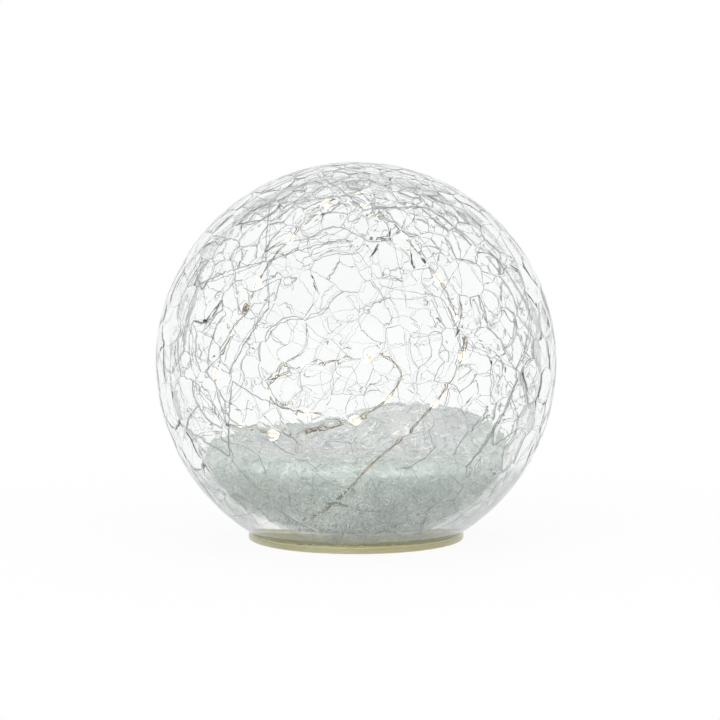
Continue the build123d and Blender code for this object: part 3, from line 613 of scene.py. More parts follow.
@dataclass(frozen=True)
class CrackShadeAndSheen:
    """Crack drawn as a half-clear sheet with a broken cover: dark painted shade, mixed towards a pale
    painted reflection.
    """

    name: str = "crack_shade_and_sheen"
    first: Colour = (0.20, 0.195, 0.17)
    second: Colour = (0.20, 0.27, 0.265)
    pale: Colour = (0.88, 0.91, 0.90)
    patch_scale: float = 90.0
    cover_scale: float = 420.0
    cover_low: float = 0.55
    cover_high: float = 1.0
    streak_count: float = 5.0
    streak_cover: float = 0.38
    streak_share: float = 0.25
    edge_levels: tuple[tuple[float, float], ...] = ((0.30, 1.0), (0.45, 0.35), (0.75, 0.35), (0.90, 0.8))

    def material(self) -> bpy.types.Material:
        """Half clear painted shade, mixed towards a pale painted reflection, whose cover changes along the
        crack.

        Returns:
            The material.
        """
        material, sheet, shader = new_material(self.name)
        patches = sheet.patches(self.first, self.second, self.patch_scale)
        place = sheet.add("ShaderNodeTexCoord")
        noise = sheet.add("ShaderNodeTexNoise", Scale=self.cover_scale, Detail=4.0)
        cover = sheet.add(
            "ShaderNodeMapRange", From_Min=0.32, From_Max=0.68, To_Min=self.cover_low, To_Max=self.cover_high
        )
        # Per crack, an attribute mixes the dark painted shade towards the pale painted reflection of light
        # off the crack's faces
        sheen_share = sheet.add("ShaderNodeAttribute", attribute_name="sheen_share")
        mix = sheet.add("ShaderNodeMix", data_type="RGBA")
        mix.inputs[7].default_value = rgba(self.pale)
        sheet.link((sheen_share, "Fac", mix, 0), (patches, "Color", mix, 6), (mix, 2, shader, "Base Color"))
        reach = sheet.add("ShaderNodeAttribute", attribute_name="reach")
        pull = sheet.add(
            "ShaderNodeVectorMath", operation="SCALE", Scale=self.streak_share * self.cover_scale
        )
        high = sheet.add("ShaderNodeMath", operation="MULTIPLY")
        high.inputs[1].default_value = self.streak_count
        streaks = sheet.add("ShaderNodeTexNoise", noise_dimensions="4D", Scale=1.0, Detail=1.0)
        lines = sheet.add("ShaderNodeMapRange", From_Min=0.50, From_Max=0.62, To_Max=self.streak_cover)
        edges = sheet.add("ShaderNodeValToRGB")
        ramp = edges.color_ramp
        ramp.elements[0].color = WHITE
        for spot, level in self.edge_levels:
            ramp.elements.new(spot).color = rgba((level, level, level))
        ramp.elements[-1].color = ramp.elements[-2].color
        whole = sheet.add("ShaderNodeMath", operation="MAXIMUM")
        broken = sheet.add("ShaderNodeMath", operation="MULTIPLY")
        sheet.link(
            (place, "Object", noise, "Vector"), (place, "Object", pull, 0),
            (pull, "Vector", streaks, "Vector"), (reach, "Fac", high, 0), (high, "Value", streaks, "W"),
            (streaks, "Fac", lines, "Value"), (reach, "Fac", edges, "Fac"), (edges, "Color", whole, 0),
            (lines, "Result", whole, 1), (noise, "Fac", cover, "Value"), (whole, "Value", broken, 0),
            (cover, "Result", broken, 1), (broken, "Value", shader, "Alpha"),
        )
        shader.inputs["Roughness"].default_value = 0.4
        return material


@dataclass(frozen=True)
class FrostedGrain:
    """Frosted granulate, neutral on its open top and blue-green where it is packed against the glass."""

    middle: Point
    ball_radius: float
    name: str = "frosted_grains"
    top_first: Colour = (0.71, 0.71, 0.71)
    top_second: Colour = (0.57, 0.57, 0.575)
    side_first: Colour = (0.76, 0.80, 0.75)
    side_second: Colour = (0.62, 0.68, 0.64)
    patch_scale: float = 130.0
    packed_depth: float = 3.0 * MM
    open_depth: float = 24.0 * MM
    cloud_scale: float = 55.0
    cloud_share: float = 0.9
    # Painted highlights: thin pale lines that stand in for the glints of the glass's cracks seen over the
    # bed
    pale: Colour = (0.93, 0.95, 0.94)
    glint_line_scale: float = 120.0
    glint_line_share: float = 1.0
    dark: Colour = (0.30, 0.35, 0.33)
    dark_scale: float = 170.0
    dark_share: float = 0.75
    line_width: float = 0.024
    grain_scale: float = 900.0
    grain_height: float = 0.25 * MM

    def material(self) -> bpy.types.Material:
        """Dull material whose colour follows the depth behind the glass, with soft clouds, thin dark lines
        and thin pale lines that are painted highlights.

        Returns:
            The material.
        """
        material, sheet, shader = new_material(self.name)
        side = sheet.patches(self.side_first, self.side_second, self.patch_scale)
        top = sheet.patches(self.top_first, self.top_second, self.patch_scale)
        place = sheet.add("ShaderNodeTexCoord")
        offset = sheet.add("ShaderNodeVectorMath", operation="DISTANCE")
        offset.inputs[1].default_value = self.middle
        upward = sheet.add(
            "ShaderNodeMapRange", From_Min=self.ball_radius - self.packed_depth,
            From_Max=self.ball_radius - self.open_depth,
        )
        cloud = sheet.add("ShaderNodeTexNoise", Scale=self.cloud_scale, Detail=3.0)
        swing = sheet.add("ShaderNodeMapRange", To_Min=-self.cloud_share / 2, To_Max=self.cloud_share / 2)
        both = sheet.add("ShaderNodeMath", operation="ADD", use_clamp=True)
        mix = sheet.add("ShaderNodeMix", data_type="RGBA")
        grain = sheet.add("ShaderNodeGroup", node_tree=grain_group(), Scale=self.grain_scale)
        bump = sheet.add("ShaderNodeBump", Strength=0.5, Distance=self.grain_height)
        sheet.link(
            (place, "Object", offset, 0), (offset, "Value", upward, "Value"),
            (place, "Object", cloud, "Vector"), (cloud, "Fac", swing, "Value"),
            (upward, "Result", both, 0), (swing, "Result", both, 1), (both, "Value", mix, 0),
            (side, "Color", mix, 6), (top, "Color", mix, 7),
        )
        colour = mix.outputs[2]
        for tone, scale, share in (
            (self.pale, self.glint_line_scale, self.glint_line_share),
            (self.dark, self.dark_scale, self.dark_share),
        ):
            colour = self._lined(sheet, colour, tone, scale, share)
        sheet.join(colour, shader.inputs["Base Color"])
        sheet.link((grain, "Height", bump, "Height"), (bump, "Normal", shader, "Normal"))
        shader.inputs["Roughness"].default_value = 0.75
        return material

    def _lined(
        self, sheet: NodeSheet, colour: Socket, tone: Colour, scale: float, share: float
    ) -> Socket:
        """Draw thin lines over a colour.

        Args:
            sheet: Node sheet of the material.
            colour: Colour under the lines.
            tone: Colour of the lines.
            scale: Scale of the lines.
            share: Cover of the lines.

        Returns:
            The colour with its lines.
        """
        lines = sheet.add("ShaderNodeGroup", node_tree=crumple_group(), Scale=scale, Width=self.line_width)
        cover = sheet.add("ShaderNodeMath", operation="MULTIPLY")
        cover.inputs[1].default_value = share
        mix = sheet.add("ShaderNodeMix", data_type="RGBA")
        mix.inputs[7].default_value = rgba(tone)
        sheet.link((lines, "Mask", cover, 0), (cover, "Value", mix, 0))
        sheet.join(colour, mix.inputs[6])
        return mix.outputs[2]


@dataclass(frozen=True)
class BedReflectionFilm(FrostedGrain):
    """Thin film of granulate tone in the skin of the glass, thinner in some places: painted reflection of
    the bed near the rim.
    """

    name: str = "painted_bed_reflection"
    film_scale: float = 240.0
    film_share: tuple[float, float] = (0.06, 0.33)

    def material(self) -> bpy.types.Material:
        """Granulate that lets a share of the light through.

        Returns:
            The material.
        """
        material = super().material()
        sheet = NodeSheet(material.node_tree)
        place = sheet.add("ShaderNodeTexCoord")
        cloud = sheet.add("ShaderNodeTexNoise", Scale=self.film_scale, Detail=4.0)
        share = sheet.add("ShaderNodeMapRange", From_Min=0.3, From_Max=0.7)
        share.inputs["To Min"].default_value, share.inputs["To Max"].default_value = self.film_share
        cover = sheet.add("ShaderNodeAttribute", attribute_name="cover")
        alpha = sheet.add("ShaderNodeMath", operation="MULTIPLY")
        sheet.link(
            (place, "Object", cloud, "Vector"), (cloud, "Fac", share, "Value"),
            (share, "Result", alpha, 0), (cover, "Fac", alpha, 1),
        )
        sheet.join(alpha.outputs["Value"], material.node_tree.nodes["Principled BSDF"].inputs["Alpha"])
        return material


@dataclass(frozen=True)
class WarmLight:
    """Warm-white light with soft paler patches."""

    name: str
    first: Colour
    second: Colour
    strength: float
    patch_scale: float = 900.0
    transmission: float = 0.0

    def material(self) -> bpy.types.Material:
        """Glowing material.

        Returns:
            The material.
        """
        material, sheet, shader = new_material(self.name)
        patches = sheet.patches(self.first, self.second, self.patch_scale)
        sheet.link((patches, "Color", shader, "Base Color"), (patches, "Color", shader, "Emission Color"))
        shader.inputs["Emission Strength"].default_value = self.strength
        shader.inputs["Transmission Weight"].default_value = self.transmission
        shader.inputs["Roughness"].default_value = 0.15
        return material


@dataclass(frozen=True)
class LargeFlakes:
    """Middles of the large flakes between the main cracks, by the same rule as the solid glass."""

    count: int = 60
    shift: float = 0.12
    seed: int = 4

    def middles(self) -> np.ndarray:
        """Uneven directions all round.

        Returns:
            Rows of directions.
        """
        chance = random.Random(self.seed)
        golden_turn = math.pi * (3 - math.sqrt(5))
        rows = []
        for number in range(self.count):
            height = 1 - (2 * number + 1) / self.count
            across = math.sqrt(1 - height**2)
            angle = number * golden_turn
            place = (across * math.cos(angle), across * math.sin(angle), height)
            rows.append([value + chance.uniform(-self.shift, self.shift) for value in place])
        return unit(np.array(rows))


@dataclass(frozen=True)
class FineCells:
    """Middles of the cells of the fine crackle: large ones that keep apart and small ones between them."""

    large_count: int = 250
    small_count: int = 290
    most_tries: int = 9
    clear_share: float = 0.60
    top_count: int = 190
    top_start: float = 0.74
    least_gap: float = 0.03
    seed: int = 21

    def middles(self) -> np.ndarray:
        """Uneven directions all round, closer together near the top.

        Returns:
            Rows of directions.
        """
        chance = np.random.default_rng(self.seed)
        chosen = [unit(chance.normal(size=3))]
        for _ in range(self.large_count - 1):
            tries = unit(chance.normal(size=(chance.integers(2, self.most_tries + 1), 3)))
            nearest = (tries @ np.array(chosen).T).max(axis=1)
            chosen.append(tries[nearest.argmin()])
        large = np.array(chosen)
        spacing = math.sqrt(4 * math.pi / self.large_count)
        limit = math.cos(self.clear_share * spacing)
        while len(chosen) < self.large_count + self.small_count:
            place = unit(chance.normal(size=3))
            if (large @ place).max() < limit:
                chosen.append(place)
        while len(chosen) < self.large_count + self.small_count + self.top_count:
            place = unit(chance.normal(size=3))
            apart = (np.array(chosen) @ place).max() < math.cos(self.least_gap)
            if place[2] > self.top_start and apart:
                chosen.append(place)
        return np.array(chosen)


@dataclass
class CrackPattern:
    """Network of cracks on a ball: cells with bent and jagged borders."""

    ball_radius: float
    middles: np.ndarray
    seed: int = 8
    step: float = 1.3 * MM
    bow_share: float = 0.10
    jag: float = 0.20 * MM
    full_jag_length: float = 4.0 * MM
    split_share: float = 0.30
    least_split: float = 3.0 * MM
    twin_share: float = 0.40
    twin_gap: tuple[float, float] = (0.5 * MM, 1.7 * MM)
    twin_points: int = 5
    twin_taper: float = 0.6
    borders: dict[frozenset, np.ndarray] = field(default_factory=dict)
    cells: list[list[int]] = field(default_factory=list)
    splits: list[np.ndarray] = field(default_factory=list)
    twins: list[np.ndarray] = field(default_factory=list)

    def __post_init__(self) -> None:
        """Work out the borders, the cells and the finer cracks."""
        self.random = np.random.default_rng(self.seed)
        self.corners = self._corners(self.middles)
        self._split_cells()
        self._twin_borders()

    def _corners(self, middles: np.ndarray) -> np.ndarray:
        """Find the corners, the borders between them and each cell's ring of corners.

        Args:
            middles: Directions of the cells' middles.

        Returns:
            Directions of the corners.
        """
        hull = bmesh.new()
        for middle in middles:
            hull.verts.new(middle)
        bmesh.ops.convex_hull(hull, input=hull.verts)
        bmesh.ops.recalc_face_normals(hull, faces=hull.faces)
        hull.faces.index_update()
        hull.verts.ensure_lookup_table()
        corners = np.zeros((len(hull.faces), 3))
        for face in hull.faces:
            normal = np.array(face.normal)
            corners[face.index] = normal * math.copysign(1.0, normal @ np.array(face.verts[0].co))
        for edge in hull.edges:
            ends = [face.index for face in edge.link_faces]
            self.borders[frozenset(ends)] = self._crack_line(corners[ends[0]], corners[ends[1]])
        for vert in hull.verts:
            loop = vert.link_loops[0]
            around = [loop.face.index]
            for _ in range(len(vert.link_faces) - 1):
                loop = loop.link_loop_prev.link_loop_radial_next
                around.append(loop.face.index)
            self.cells.append(around)
        hull.free()
        return corners

    def _crack_line(self, start: np.ndarray, end: np.ndarray) -> np.ndarray:
        """Bent and jagged line between two directions.

        Args:
            start: First direction.
            end: Last direction.

        Returns:
            Rows of directions along the line, ends included.
        """
        length = np.linalg.norm(end - start) * self.ball_radius
        count = max(2, round(length / self.step))
        share = np.linspace(0.0, 1.0, count + 1)[:, None]
        line = start + (end - start) * share
        side = np.cross(end - start, start + end)
        side = side / max(np.linalg.norm(side), TINY)
        bow = self.random.normal(0.0, self.bow_share) * length
        spread = self.jag * min(1.0, length / self.full_jag_length)
        jag = self.random.normal(0.0, spread, size=(count + 1, 1))
        jag[0] = 0.0
        jag[-1] = 0.0
        offset = (bow * np.sin(math.pi * share) + jag) / self.ball_radius
        return unit(line + side * offset)

    def ring(self, cell: list[int]) -> list[tuple[frozenset, bool]]:
        """Borders around a cell in order.

        Args:
            cell: Corners of the cell in order.

        Returns:
            Key of each border, and whether it is walked from its first point.
        """
        walked = []
        for here, there in zip(cell, cell[1:] + cell[:1]):
            key = frozenset((here, there))
            line = self.borders[key]
            walked.append((key, bool(np.allclose(line[0], self.corners[here]))))
        return walked

    def _split_cells(self) -> None:
        """Add finer cracks across a share of the cells."""
        for cell in self.cells:
            if self.random.random() > self.split_share or len(cell) < 4:
                continue
            walked = self.ring(cell)
            first = self.random.integers(len(walked))
            other = (first + self.random.integers(2, len(walked) - 1)) % len(walked)
            ends = []
            for index in (first, other):
                line = self.borders[walked[index][0]]
                ends.append(line[self.random.integers(len(line))])
            if np.linalg.norm(ends[0] - ends[1]) * self.ball_radius > self.least_split:
                self.splits.append(self._crack_line(ends[0], ends[1]))

    def _twin_borders(self) -> None:
        """Add a second crack beside a share of the borders."""
        for line in self.borders.values():
            if self.random.random() > self.twin_share or len(line) < self.twin_points:
                continue
            share = np.linspace(0.0, 1.0, len(line))[:, None]
            side = unit(np.cross(np.gradient(line, axis=0), line))
            gap = self.random.uniform(*self.twin_gap) * self.random.choice((-1.0, 1.0))
            jag = self.random.normal(0.0, self.jag, size=(len(line), 1))
            offset = (gap + jag) * np.sin(math.pi * share) ** self.twin_taper / self.ball_radius
            self.twins.append(unit(line + side * offset))


@dataclass
class CrackledGlobe:
    """Thick glass globe, smooth outside, with a cracked and uneven inside."""

    place: GlobeMeasure
    segments: int = 192
    rows: int = 112
    ring_shares: tuple[float, ...] = (0.9, 0.66, 0.33)
    cell_tilt: float = 0.008
    cell_dome: float = 0.03 * MM
    groove: float = 0.03 * MM
    foot_press: float = 0.03 * MM
    fade_start: float = 3.0 * MM
    fade_length: float = 32.0 * MM
    crack_base: float = 0.10 * MM
    crack_width: float = 0.12 * MM
    crack_reach: tuple[float, float] = (0.22 * MM, 0.66 * MM)
    deep_share: float = 0.04
    deep_times: float = 1.8
    crack_lean: float = 0.10 * MM
    crack_skip: float = 0.08
    fine_thin: float = 0.7
    low_thin: float = 0.75
    # Odds of the pale painted reflection on a crack, below and above pale_height
    low_sheen_odds: tuple[float, float] = (1.4, 1.1)
    high_sheen_odds: tuple[float, float] = (0.9, 2.2)
    crack_wobble: float = 0.2
    pale_height: float = 42.0 * MM
    crack_seed: int = 5

    def build(self) -> None:
        """Build and dress the glass and its cracks."""
        radius = self.place.inner_radius
        self.pattern = CrackPattern(radius, FineCells().middles())
        flakes = LargeFlakes().middles()
        self.main = CrackPattern(radius, flakes, bow_share=0.015, split_share=0.0, twin_share=0.6)
        glass = add_object("crackled_globe", self._glass_mesh(), ClearGlass().material())
        seat_piece(glass, "crackled_glass", "glass_globe")
        cracks = add_object("cracks_in_glass", self._crack_mesh(), CrackShadeAndSheen().material())
        seat_piece(cracks, "crackled_glass")

    def _fade(self, direction: np.ndarray) -> float:
        """Share of the unevenness that is left near the mouth."""
        height = self.place.inner_z + direction[2] * self.place.inner_radius
        return smooth_step((height - self.place.mouth_z - self.fade_start) / self.fade_length)

    def _inside(self, direction: np.ndarray, lift: float) -> np.ndarray:
        """Point of the inner wall, lifted into the glass."""
        return self.place.middle() + direction * (self.place.inner_radius + lift * self._fade(direction))

    def _inner_cells(self) -> tuple[list[np.ndarray], list[list[int]]]:
        """Points and faces of the inner wall, a tilted pillow for each cell.

        Returns:
            Points, and the faces as lists of point numbers.
        """
        points: list[np.ndarray] = []
        faces: list[list[int]] = []
        pattern = self.pattern
        chance = np.random.default_rng(self.crack_seed)

        def put(direction: np.ndarray, lift: float) -> int:
            points.append(self._inside(direction, lift))
            return len(points) - 1

        corner_points = [put(corner, self.groove) for corner in pattern.corners]
        border_points = {
            key: [put(direction, self.groove) for direction in line[1:-1]]
            for key, line in pattern.borders.items()
        }
        for cell in pattern.cells:
            ring: list[int] = []
            for here, (key, forward) in zip(cell, pattern.ring(cell)):
                run = border_points[key]
                ring += [corner_points[here]] + (run if forward else run[::-1])
            around = unit(np.array([points[i] for i in ring]) - self.place.middle())
            middle = unit(around.mean(axis=0))
            slope = chance.normal(0.0, self.cell_tilt, size=3)
            dome = chance.normal(0.0, self.cell_dome)
            outer = ring
            for share in self.ring_shares:
                inner = []
                for direction in unit(middle + (around - middle) * share):
                    lift = (direction - middle) @ slope * self.place.inner_radius + dome * (1 - share**2)
                    inner.append(put(direction, lift))
                for k in range(len(ring)):
                    n = (k + 1) % len(ring)
                    faces.append([outer[k], outer[n], inner[n], inner[k]])
                outer = inner
            hub = put(middle, dome)
            faces += [[outer[k], outer[(k + 1) % len(outer)], hub] for k in range(len(outer))]
        return points, faces

    def _glass_mesh(self) -> bpy.types.Mesh:
        """Closed mesh of the smooth outside, the uneven inside and the foot.

        Returns:
            The mesh.
        """
        place = self.place
        foot_z = place.seat_z - self.foot_press
        points, faces = self._inner_cells()
        shell = bmesh.new()
        made = [shell.verts.new(point) for point in points]
        for face in faces:
            shell.faces.new([made[i] for i in face])
        cut = bmesh.ops.bisect_plane(
            shell,
            geom=shell.verts[:] + shell.edges[:] + shell.faces[:],
            plane_co=(0, 0, place.mouth_z),
            plane_no=(0, 0, 1),
            clear_inner=True,
        )
        mouth = [item for item in cut["geom_cut"] if isinstance(item, bmesh.types.BMEdge)]
        for vert in {vert for edge in mouth for vert in edge.verts}:
            flat = Vector((vert.co.x, vert.co.y, 0.0)).normalized() * MOUTH_RADIUS
            vert.co = (flat.x, flat.y, place.mouth_z)
        grown = bmesh.ops.extrude_edge_only(shell, edges=mouth)["geom"]
        for vert in (item for item in grown if isinstance(item, bmesh.types.BMVert)):
            vert.co.z = foot_z
        foot = [
            item for item in grown if isinstance(item, bmesh.types.BMEdge)
            and all(abs(vert.co.z - foot_z) < TINY for vert in item.verts)
        ]
        foot += self._outer_rows(shell)
        bmesh.ops.triangle_fill(shell, edges=foot, use_beauty=True)
        bmesh.ops.recalc_face_normals(shell, faces=shell.faces)
        mesh = bpy.data.meshes.new("crackled_globe")
        shell.to_mesh(mesh)
        shell.free()
        smooth_faces(mesh)
        return mesh

    def _outer_rows(self, shell: bmesh.types.BMesh) -> list[bmesh.types.BMEdge]:
        """Add the smooth outside.

        Args:
            shell: Mesh that it is added to.

        Returns:
            Edges of its open rim at the foot.
        """
        place = self.place
        last = math.acos((place.seat_z - self.foot_press - place.outer_z) / place.outer_radius)
        top = shell.verts.new((0, 0, place.outer_z + place.outer_radius))
        rows: list[list[bmesh.types.BMVert]] = []
        for row in range(1, self.rows + 1):
            angle = last * row / self.rows
            radius = place.outer_radius * math.sin(angle)
            height = place.outer_z + place.outer_radius * math.cos(angle)
            spots = [round_point(radius, turn, height) for turn in turns(self.segments)]
            rows.append([shell.verts.new(spot) for spot in spots])
        for k in range(self.segments):
            n = (k + 1) % self.segments
            shell.faces.new((top, rows[0][k], rows[0][n]))
            for upper, lower in zip(rows, rows[1:]):
                shell.faces.new((upper[k], lower[k], lower[n], upper[n]))
        rim = rows[-1]
        return [shell.edges.get((rim[k], rim[(k + 1) % self.segments])) for k in range(self.segments)]

    def _crack_mesh(self) -> bpy.types.Mesh:
        """Thin closed wedges where the cracks pass through the inner wall.

        Returns:
            The mesh.
        """
        chance = np.random.default_rng(self.crack_seed + 1)
        points: list[np.ndarray] = []
        faces: list[list[int]] = []
        sheen_shares: list[float] = []
        main = list(self.main.borders.values())
        borders = list(self.pattern.borders.values())
        finer = self.pattern.splits + self.pattern.twins + self.main.twins
        for number, line in enumerate(main + borders + finer):
            thin = self.fine_thin if number >= len(main) + len(borders) else 1.0
            height = self.place.inner_z + line[:, 2].mean() * self.place.inner_radius
            # Cracks lower than the bed's top get more pale painted reflection, for light off their faces
            # against the bed behind
            sheen_share = chance.beta(*(self.low_sheen_odds if height < self.pale_height else self.high_sheen_odds))
            skipped = chance.random() < self.crack_skip
            depth = chance.uniform(*self.crack_reach) * thin
            if chance.random() < self.deep_share and number >= len(main):
                depth *= self.deep_times
            if height < self.pale_height:
                thin *= self.low_thin
            lean = chance.normal(0.0, self.crack_lean)
            wobble = chance.normal(0.0, self.crack_wobble, size=len(line))
            lowest = self.place.inner_z + line[:, 2].min() * self.place.inner_radius
            if skipped or lowest < self.place.mouth_z + self.fade_start:
                continue
            self._add_wedge(points, faces, line, depth * (1 + wobble), lean, self.crack_width * thin)
            sheen_shares += [sheen_share] * (len(points) - len(sheen_shares))
        mesh = bpy.data.meshes.new("cracks_in_glass")
        mesh.from_pydata([tuple(point) for point in points], [], faces)
        mesh.attributes.new("sheen_share", "FLOAT", "POINT").data.foreach_set("value", sheen_shares)
        # A wedge has two points in the glass and one at its free edge
        depth_marks = [0.0, 0.0, 1.0] * (len(points) // 3)
        mesh.attributes.new("reach", "FLOAT", "POINT").data.foreach_set("value", depth_marks)
        mesh.update()
        return mesh

    def _add_wedge(
        self,
        points: list[np.ndarray],
        faces: list[list[int]],
        line: np.ndarray,
        depths: np.ndarray,
        lean: float,
        width: float,
    ) -> None:
        """Add one crack as a closed wedge.

        Args:
            points: Points of the mesh, added to.
            faces: Faces of the mesh, added to.
            line: Directions along the crack.
            depths: Reach from the glass towards the middle at each direction.
            lean: Side step of the free edge.
            width: Width in the glass.
        """
        base = self.place.inner_radius + self.crack_base
        along = np.gradient(line, axis=0)
        sides = unit(np.cross(along, line))
        first = len(points)
        for direction, side, depth in zip(line, sides, depths):
            foot = self.place.middle() + direction * base
            points.append(foot + side * width / 2)
            points.append(foot - side * width / 2)
            points.append(foot - direction * depth + side * lean)
        for k in range(len(line) - 1):
            here = first + 3 * k
            for a, b in ((1, 0), (2, 1), (0, 2)):
                faces.append([here + a, here + b, here + b + 3, here + a + 3])
        last = first + 3 * (len(line) - 1)
        faces.append([first, first + 1, first + 2])
        faces.append([last + 2, last + 1, last])


class GeometrySheet(NodeSheet):
    """Geometry node tree with named inputs."""

    def __init__(self, name: str) -> None:
        """Start a tree with a geometry input and output."""
        tree = bpy.data.node_groups.new(name, "GeometryNodeTree")
        tree.interface.new_socket("Geometry", in_out="INPUT", socket_type="NodeSocketGeometry")
        tree.interface.new_socket("Geometry", in_out="OUTPUT", socket_type="NodeSocketGeometry")
        super().__init__(tree)
        self.values: dict[str, object] = {}

    def size(self, label: str, kind: str, value: object) -> None:
        """Add a named input and keep its value.

        Args:
            label: Name of the input.
            kind: Socket type.
            value: Value for the modifier.
        """
        socket = self.tree.interface.new_socket(label, in_out="INPUT", socket_type=kind)
        self.values[socket.identifier] = value

    def apply_to(self, mesh: bpy.types.Mesh, name: str) -> bpy.types.Mesh:
        """Run the tree on a mesh.

        Args:
            mesh: Geometry that goes in.
            name: Name of the new mesh.

        Returns:
            The plain mesh that comes out.
        """
        carrier = bpy.data.objects.new(name + "_carrier", mesh)
        bpy.context.scene.collection.objects.link(carrier)
        modifier = carrier.modifiers.new(name, "NODES")
        modifier.node_group = self.tree
        for identifier, value in self.values.items():
            modifier[identifier] = value
        made = evaluated_mesh(carrier)
        carrier.modifiers.remove(modifier)
        bpy.data.objects.remove(carrier)
        made.name = name
        return made


@dataclass
class GranulateBed:
    """Bed of fine frosted granulate with a low heap, in the lower third of the globe."""

    place: GlobeMeasure
    wall_gap: float = 2.6 * MM
    segments: int = 160
    side_rows: int = 28
    top_rows: int = 48
    rim_height: float = 36.0 * MM
    rim_round: float = 3.5 * MM
    rim_reach: float = 5.6 * MM
    heap_radius: float = 60.0 * MM
    heap_rise: float = 13.0 * MM
    heap_place: tuple[float, float] = (22.0 * MM, 12.0 * MM)
    blend: float = 1.5 * MM
    floor_rise: float = 1.5 * MM
    foot_height: float = 3.5 * MM
    foot_rows: int = 6
    clearance: float = 0.3 * MM
    lump: float = 0.55 * MM
    lump_scale: float = 110.0
    grain_radius: float = 0.5 * MM
    grain_density: float = 260000.0
    cling_gap: float = 0.55 * MM
    cling_radius: float = 0.40 * MM
    cling_density: float = 600000.0
    cling_fade: float = 0.25
    film_depths: tuple[float, float] = (0.085 * MM, 0.06 * MM)
    film_clear: tuple[float, float] = (5.0 * MM, 14.0 * MM)
    film_fade: float = 0.12
    wire_steps: int = 12
    grain_sizes: tuple[float, float] = (0.5, 1.25)
    grain_seed: int = 3

    def build(self) -> None:
        """Build and dress the bed, its loose grains and the film of painted bed reflection in the glass."""
        finish = FrostedGrain(tuple(self.place.middle()), self.place.inner_radius).material()
        mesh = self._bed_mesh()
        bed = add_object("granulate_bed", mesh, finish)
        seat_piece(bed, "frosted_granulate", "snow_fill")
        for name, surface, density, radius in (
            ("granulate_grains", mesh.copy(), self.grain_density, self.grain_radius),
            ("grains_on_glass", self._wall_mesh(), self.cling_density, self.cling_radius),
        ):
            scattered = self._grain_mesh(name, surface, density, radius, finish)
            seat_piece(add_object(name, scattered, finish), "frosted_granulate")
        # Film in the skin of the glass that paints the bed's tone into it: painted reflection of the bed
        # near the rim
        bed_reflection_film = BedReflectionFilm(tuple(self.place.middle()), self.place.inner_radius).material()
        seat_piece(add_object("painted_bed_reflection_film", self._film_mesh(), bed_reflection_film), "frosted_granulate")

    def _top(self, x: float, y: float) -> float:
        """Height of the bed's top: the level bed, with the heap blended into it.

        Args:
            x: Place to the right.
            y: Place to the back.

        Returns:
            The height.
        """
        away = (x - self.heap_place[0]) ** 2 + (y - self.heap_place[1]) ** 2
        drop = self.heap_radius - math.sqrt(max(0.0, self.heap_radius**2 - away))
        heap = self.rim_height + self.heap_rise - drop
        step = heap - self.rim_height
        return self.rim_height + (step + math.sqrt(step**2 + self.blend**2)) / 2

    def _floor_z(self) -> float:
        """Height of the bed's underside."""
        return self.place.mouth_z + self.floor_rise

    def _cup_z(self) -> float:
        """Height of the hollow for the cup."""
        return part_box("base_housing")[1].z + self.clearance

    def _arc(self, turn: float, gap: float, low_z: float, high_z: float, rows: int) -> list[Point]:
        """Points up a stretch that keeps one distance from the glass.

        Args:
            turn: Angle around the upright axis.
            gap: Distance from the inner wall of the glass.
            low_z: Height of the first point.
            high_z: Height of the last point.
            rows: Steps between them.

        Returns:
            The points in order.
        """
        ball = self.place.inner_radius - gap
        low, high = (math.acos((self.place.inner_z - height) / ball) for height in (low_z, high_z))
        points = []
        for row in range(rows + 1):
            angle = low + (high - low) * row / rows
            radius = ball * math.sin(angle)
            height = self.place.inner_z - ball * math.cos(angle)
            points.append(round_point(radius, turn, height))
        return points

    def _side(self, turn: float, gap: float, low_z: float) -> list[Point]:
        """Points up the round side of the bed.

        Args:
            turn: Angle around the upright axis.
            gap: Distance from the inner wall of the glass.
            low_z: Height of the first point.

        Returns:
            The points up to the rim.
        """
        ball = self.place.inner_radius - gap
        guess = ball * math.sin(math.acos((self.place.inner_z - self.rim_height) / ball))
        rim_z = self._top(guess * math.cos(turn), guess * math.sin(turn))
        return self._arc(turn, gap, low_z, rim_z - self.rim_round, self.side_rows)

    def _hollow(self, turn: float) -> list[Point]:
        """Points of the hollow for the cup and its collar, and of the foot around it.

        Args:
            turn: Angle around the upright axis.

        Returns:
            The points from the top of the cup to the top of the foot.
        """
        cup = CUP_RADIUS + self.clearance
        collar = COLLAR_RADIUS + self.clearance
        cup_z = self._cup_z()
        collar_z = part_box("seal_ring")[1].z + self.clearance
        floor_z = self._floor_z()
        profile = ((cup, cup_z), (cup, collar_z), (collar, collar_z), (collar, floor_z))
        points = [round_point(radius, turn, height) for radius, height in profile]
        return points + self._arc(turn, self.clearance, floor_z, floor_z + self.foot_height, self.foot_rows)

    def _column(self, turn: float) -> list[Point]:
        """Points of the bed's surface from the top of the cup to the middle of the bed's top.

        Args:
            turn: Angle around the upright axis.

        Returns:
            The points in order.
        """
        points = self._hollow(turn) + self._side(turn, self.wall_gap, self._floor_z() + self.foot_height)
        rim = math.hypot(points[-1][0], points[-1][1])
        for row in range(1, self.top_rows):
            radius = rim * (1 - row / self.top_rows)
            x, y = radius * math.cos(turn), radius * math.sin(turn)
            near = max(0.0, 1 - (rim - radius) / self.rim_reach)
            roll = self.rim_round * (1 - math.sqrt(1 - near**2))
            bump = noise.noise(Vector((x, y, 0.0)) * self.lump_scale) * self.lump
            points.append((x, y, self._top(x, y) - roll + bump))
        return points

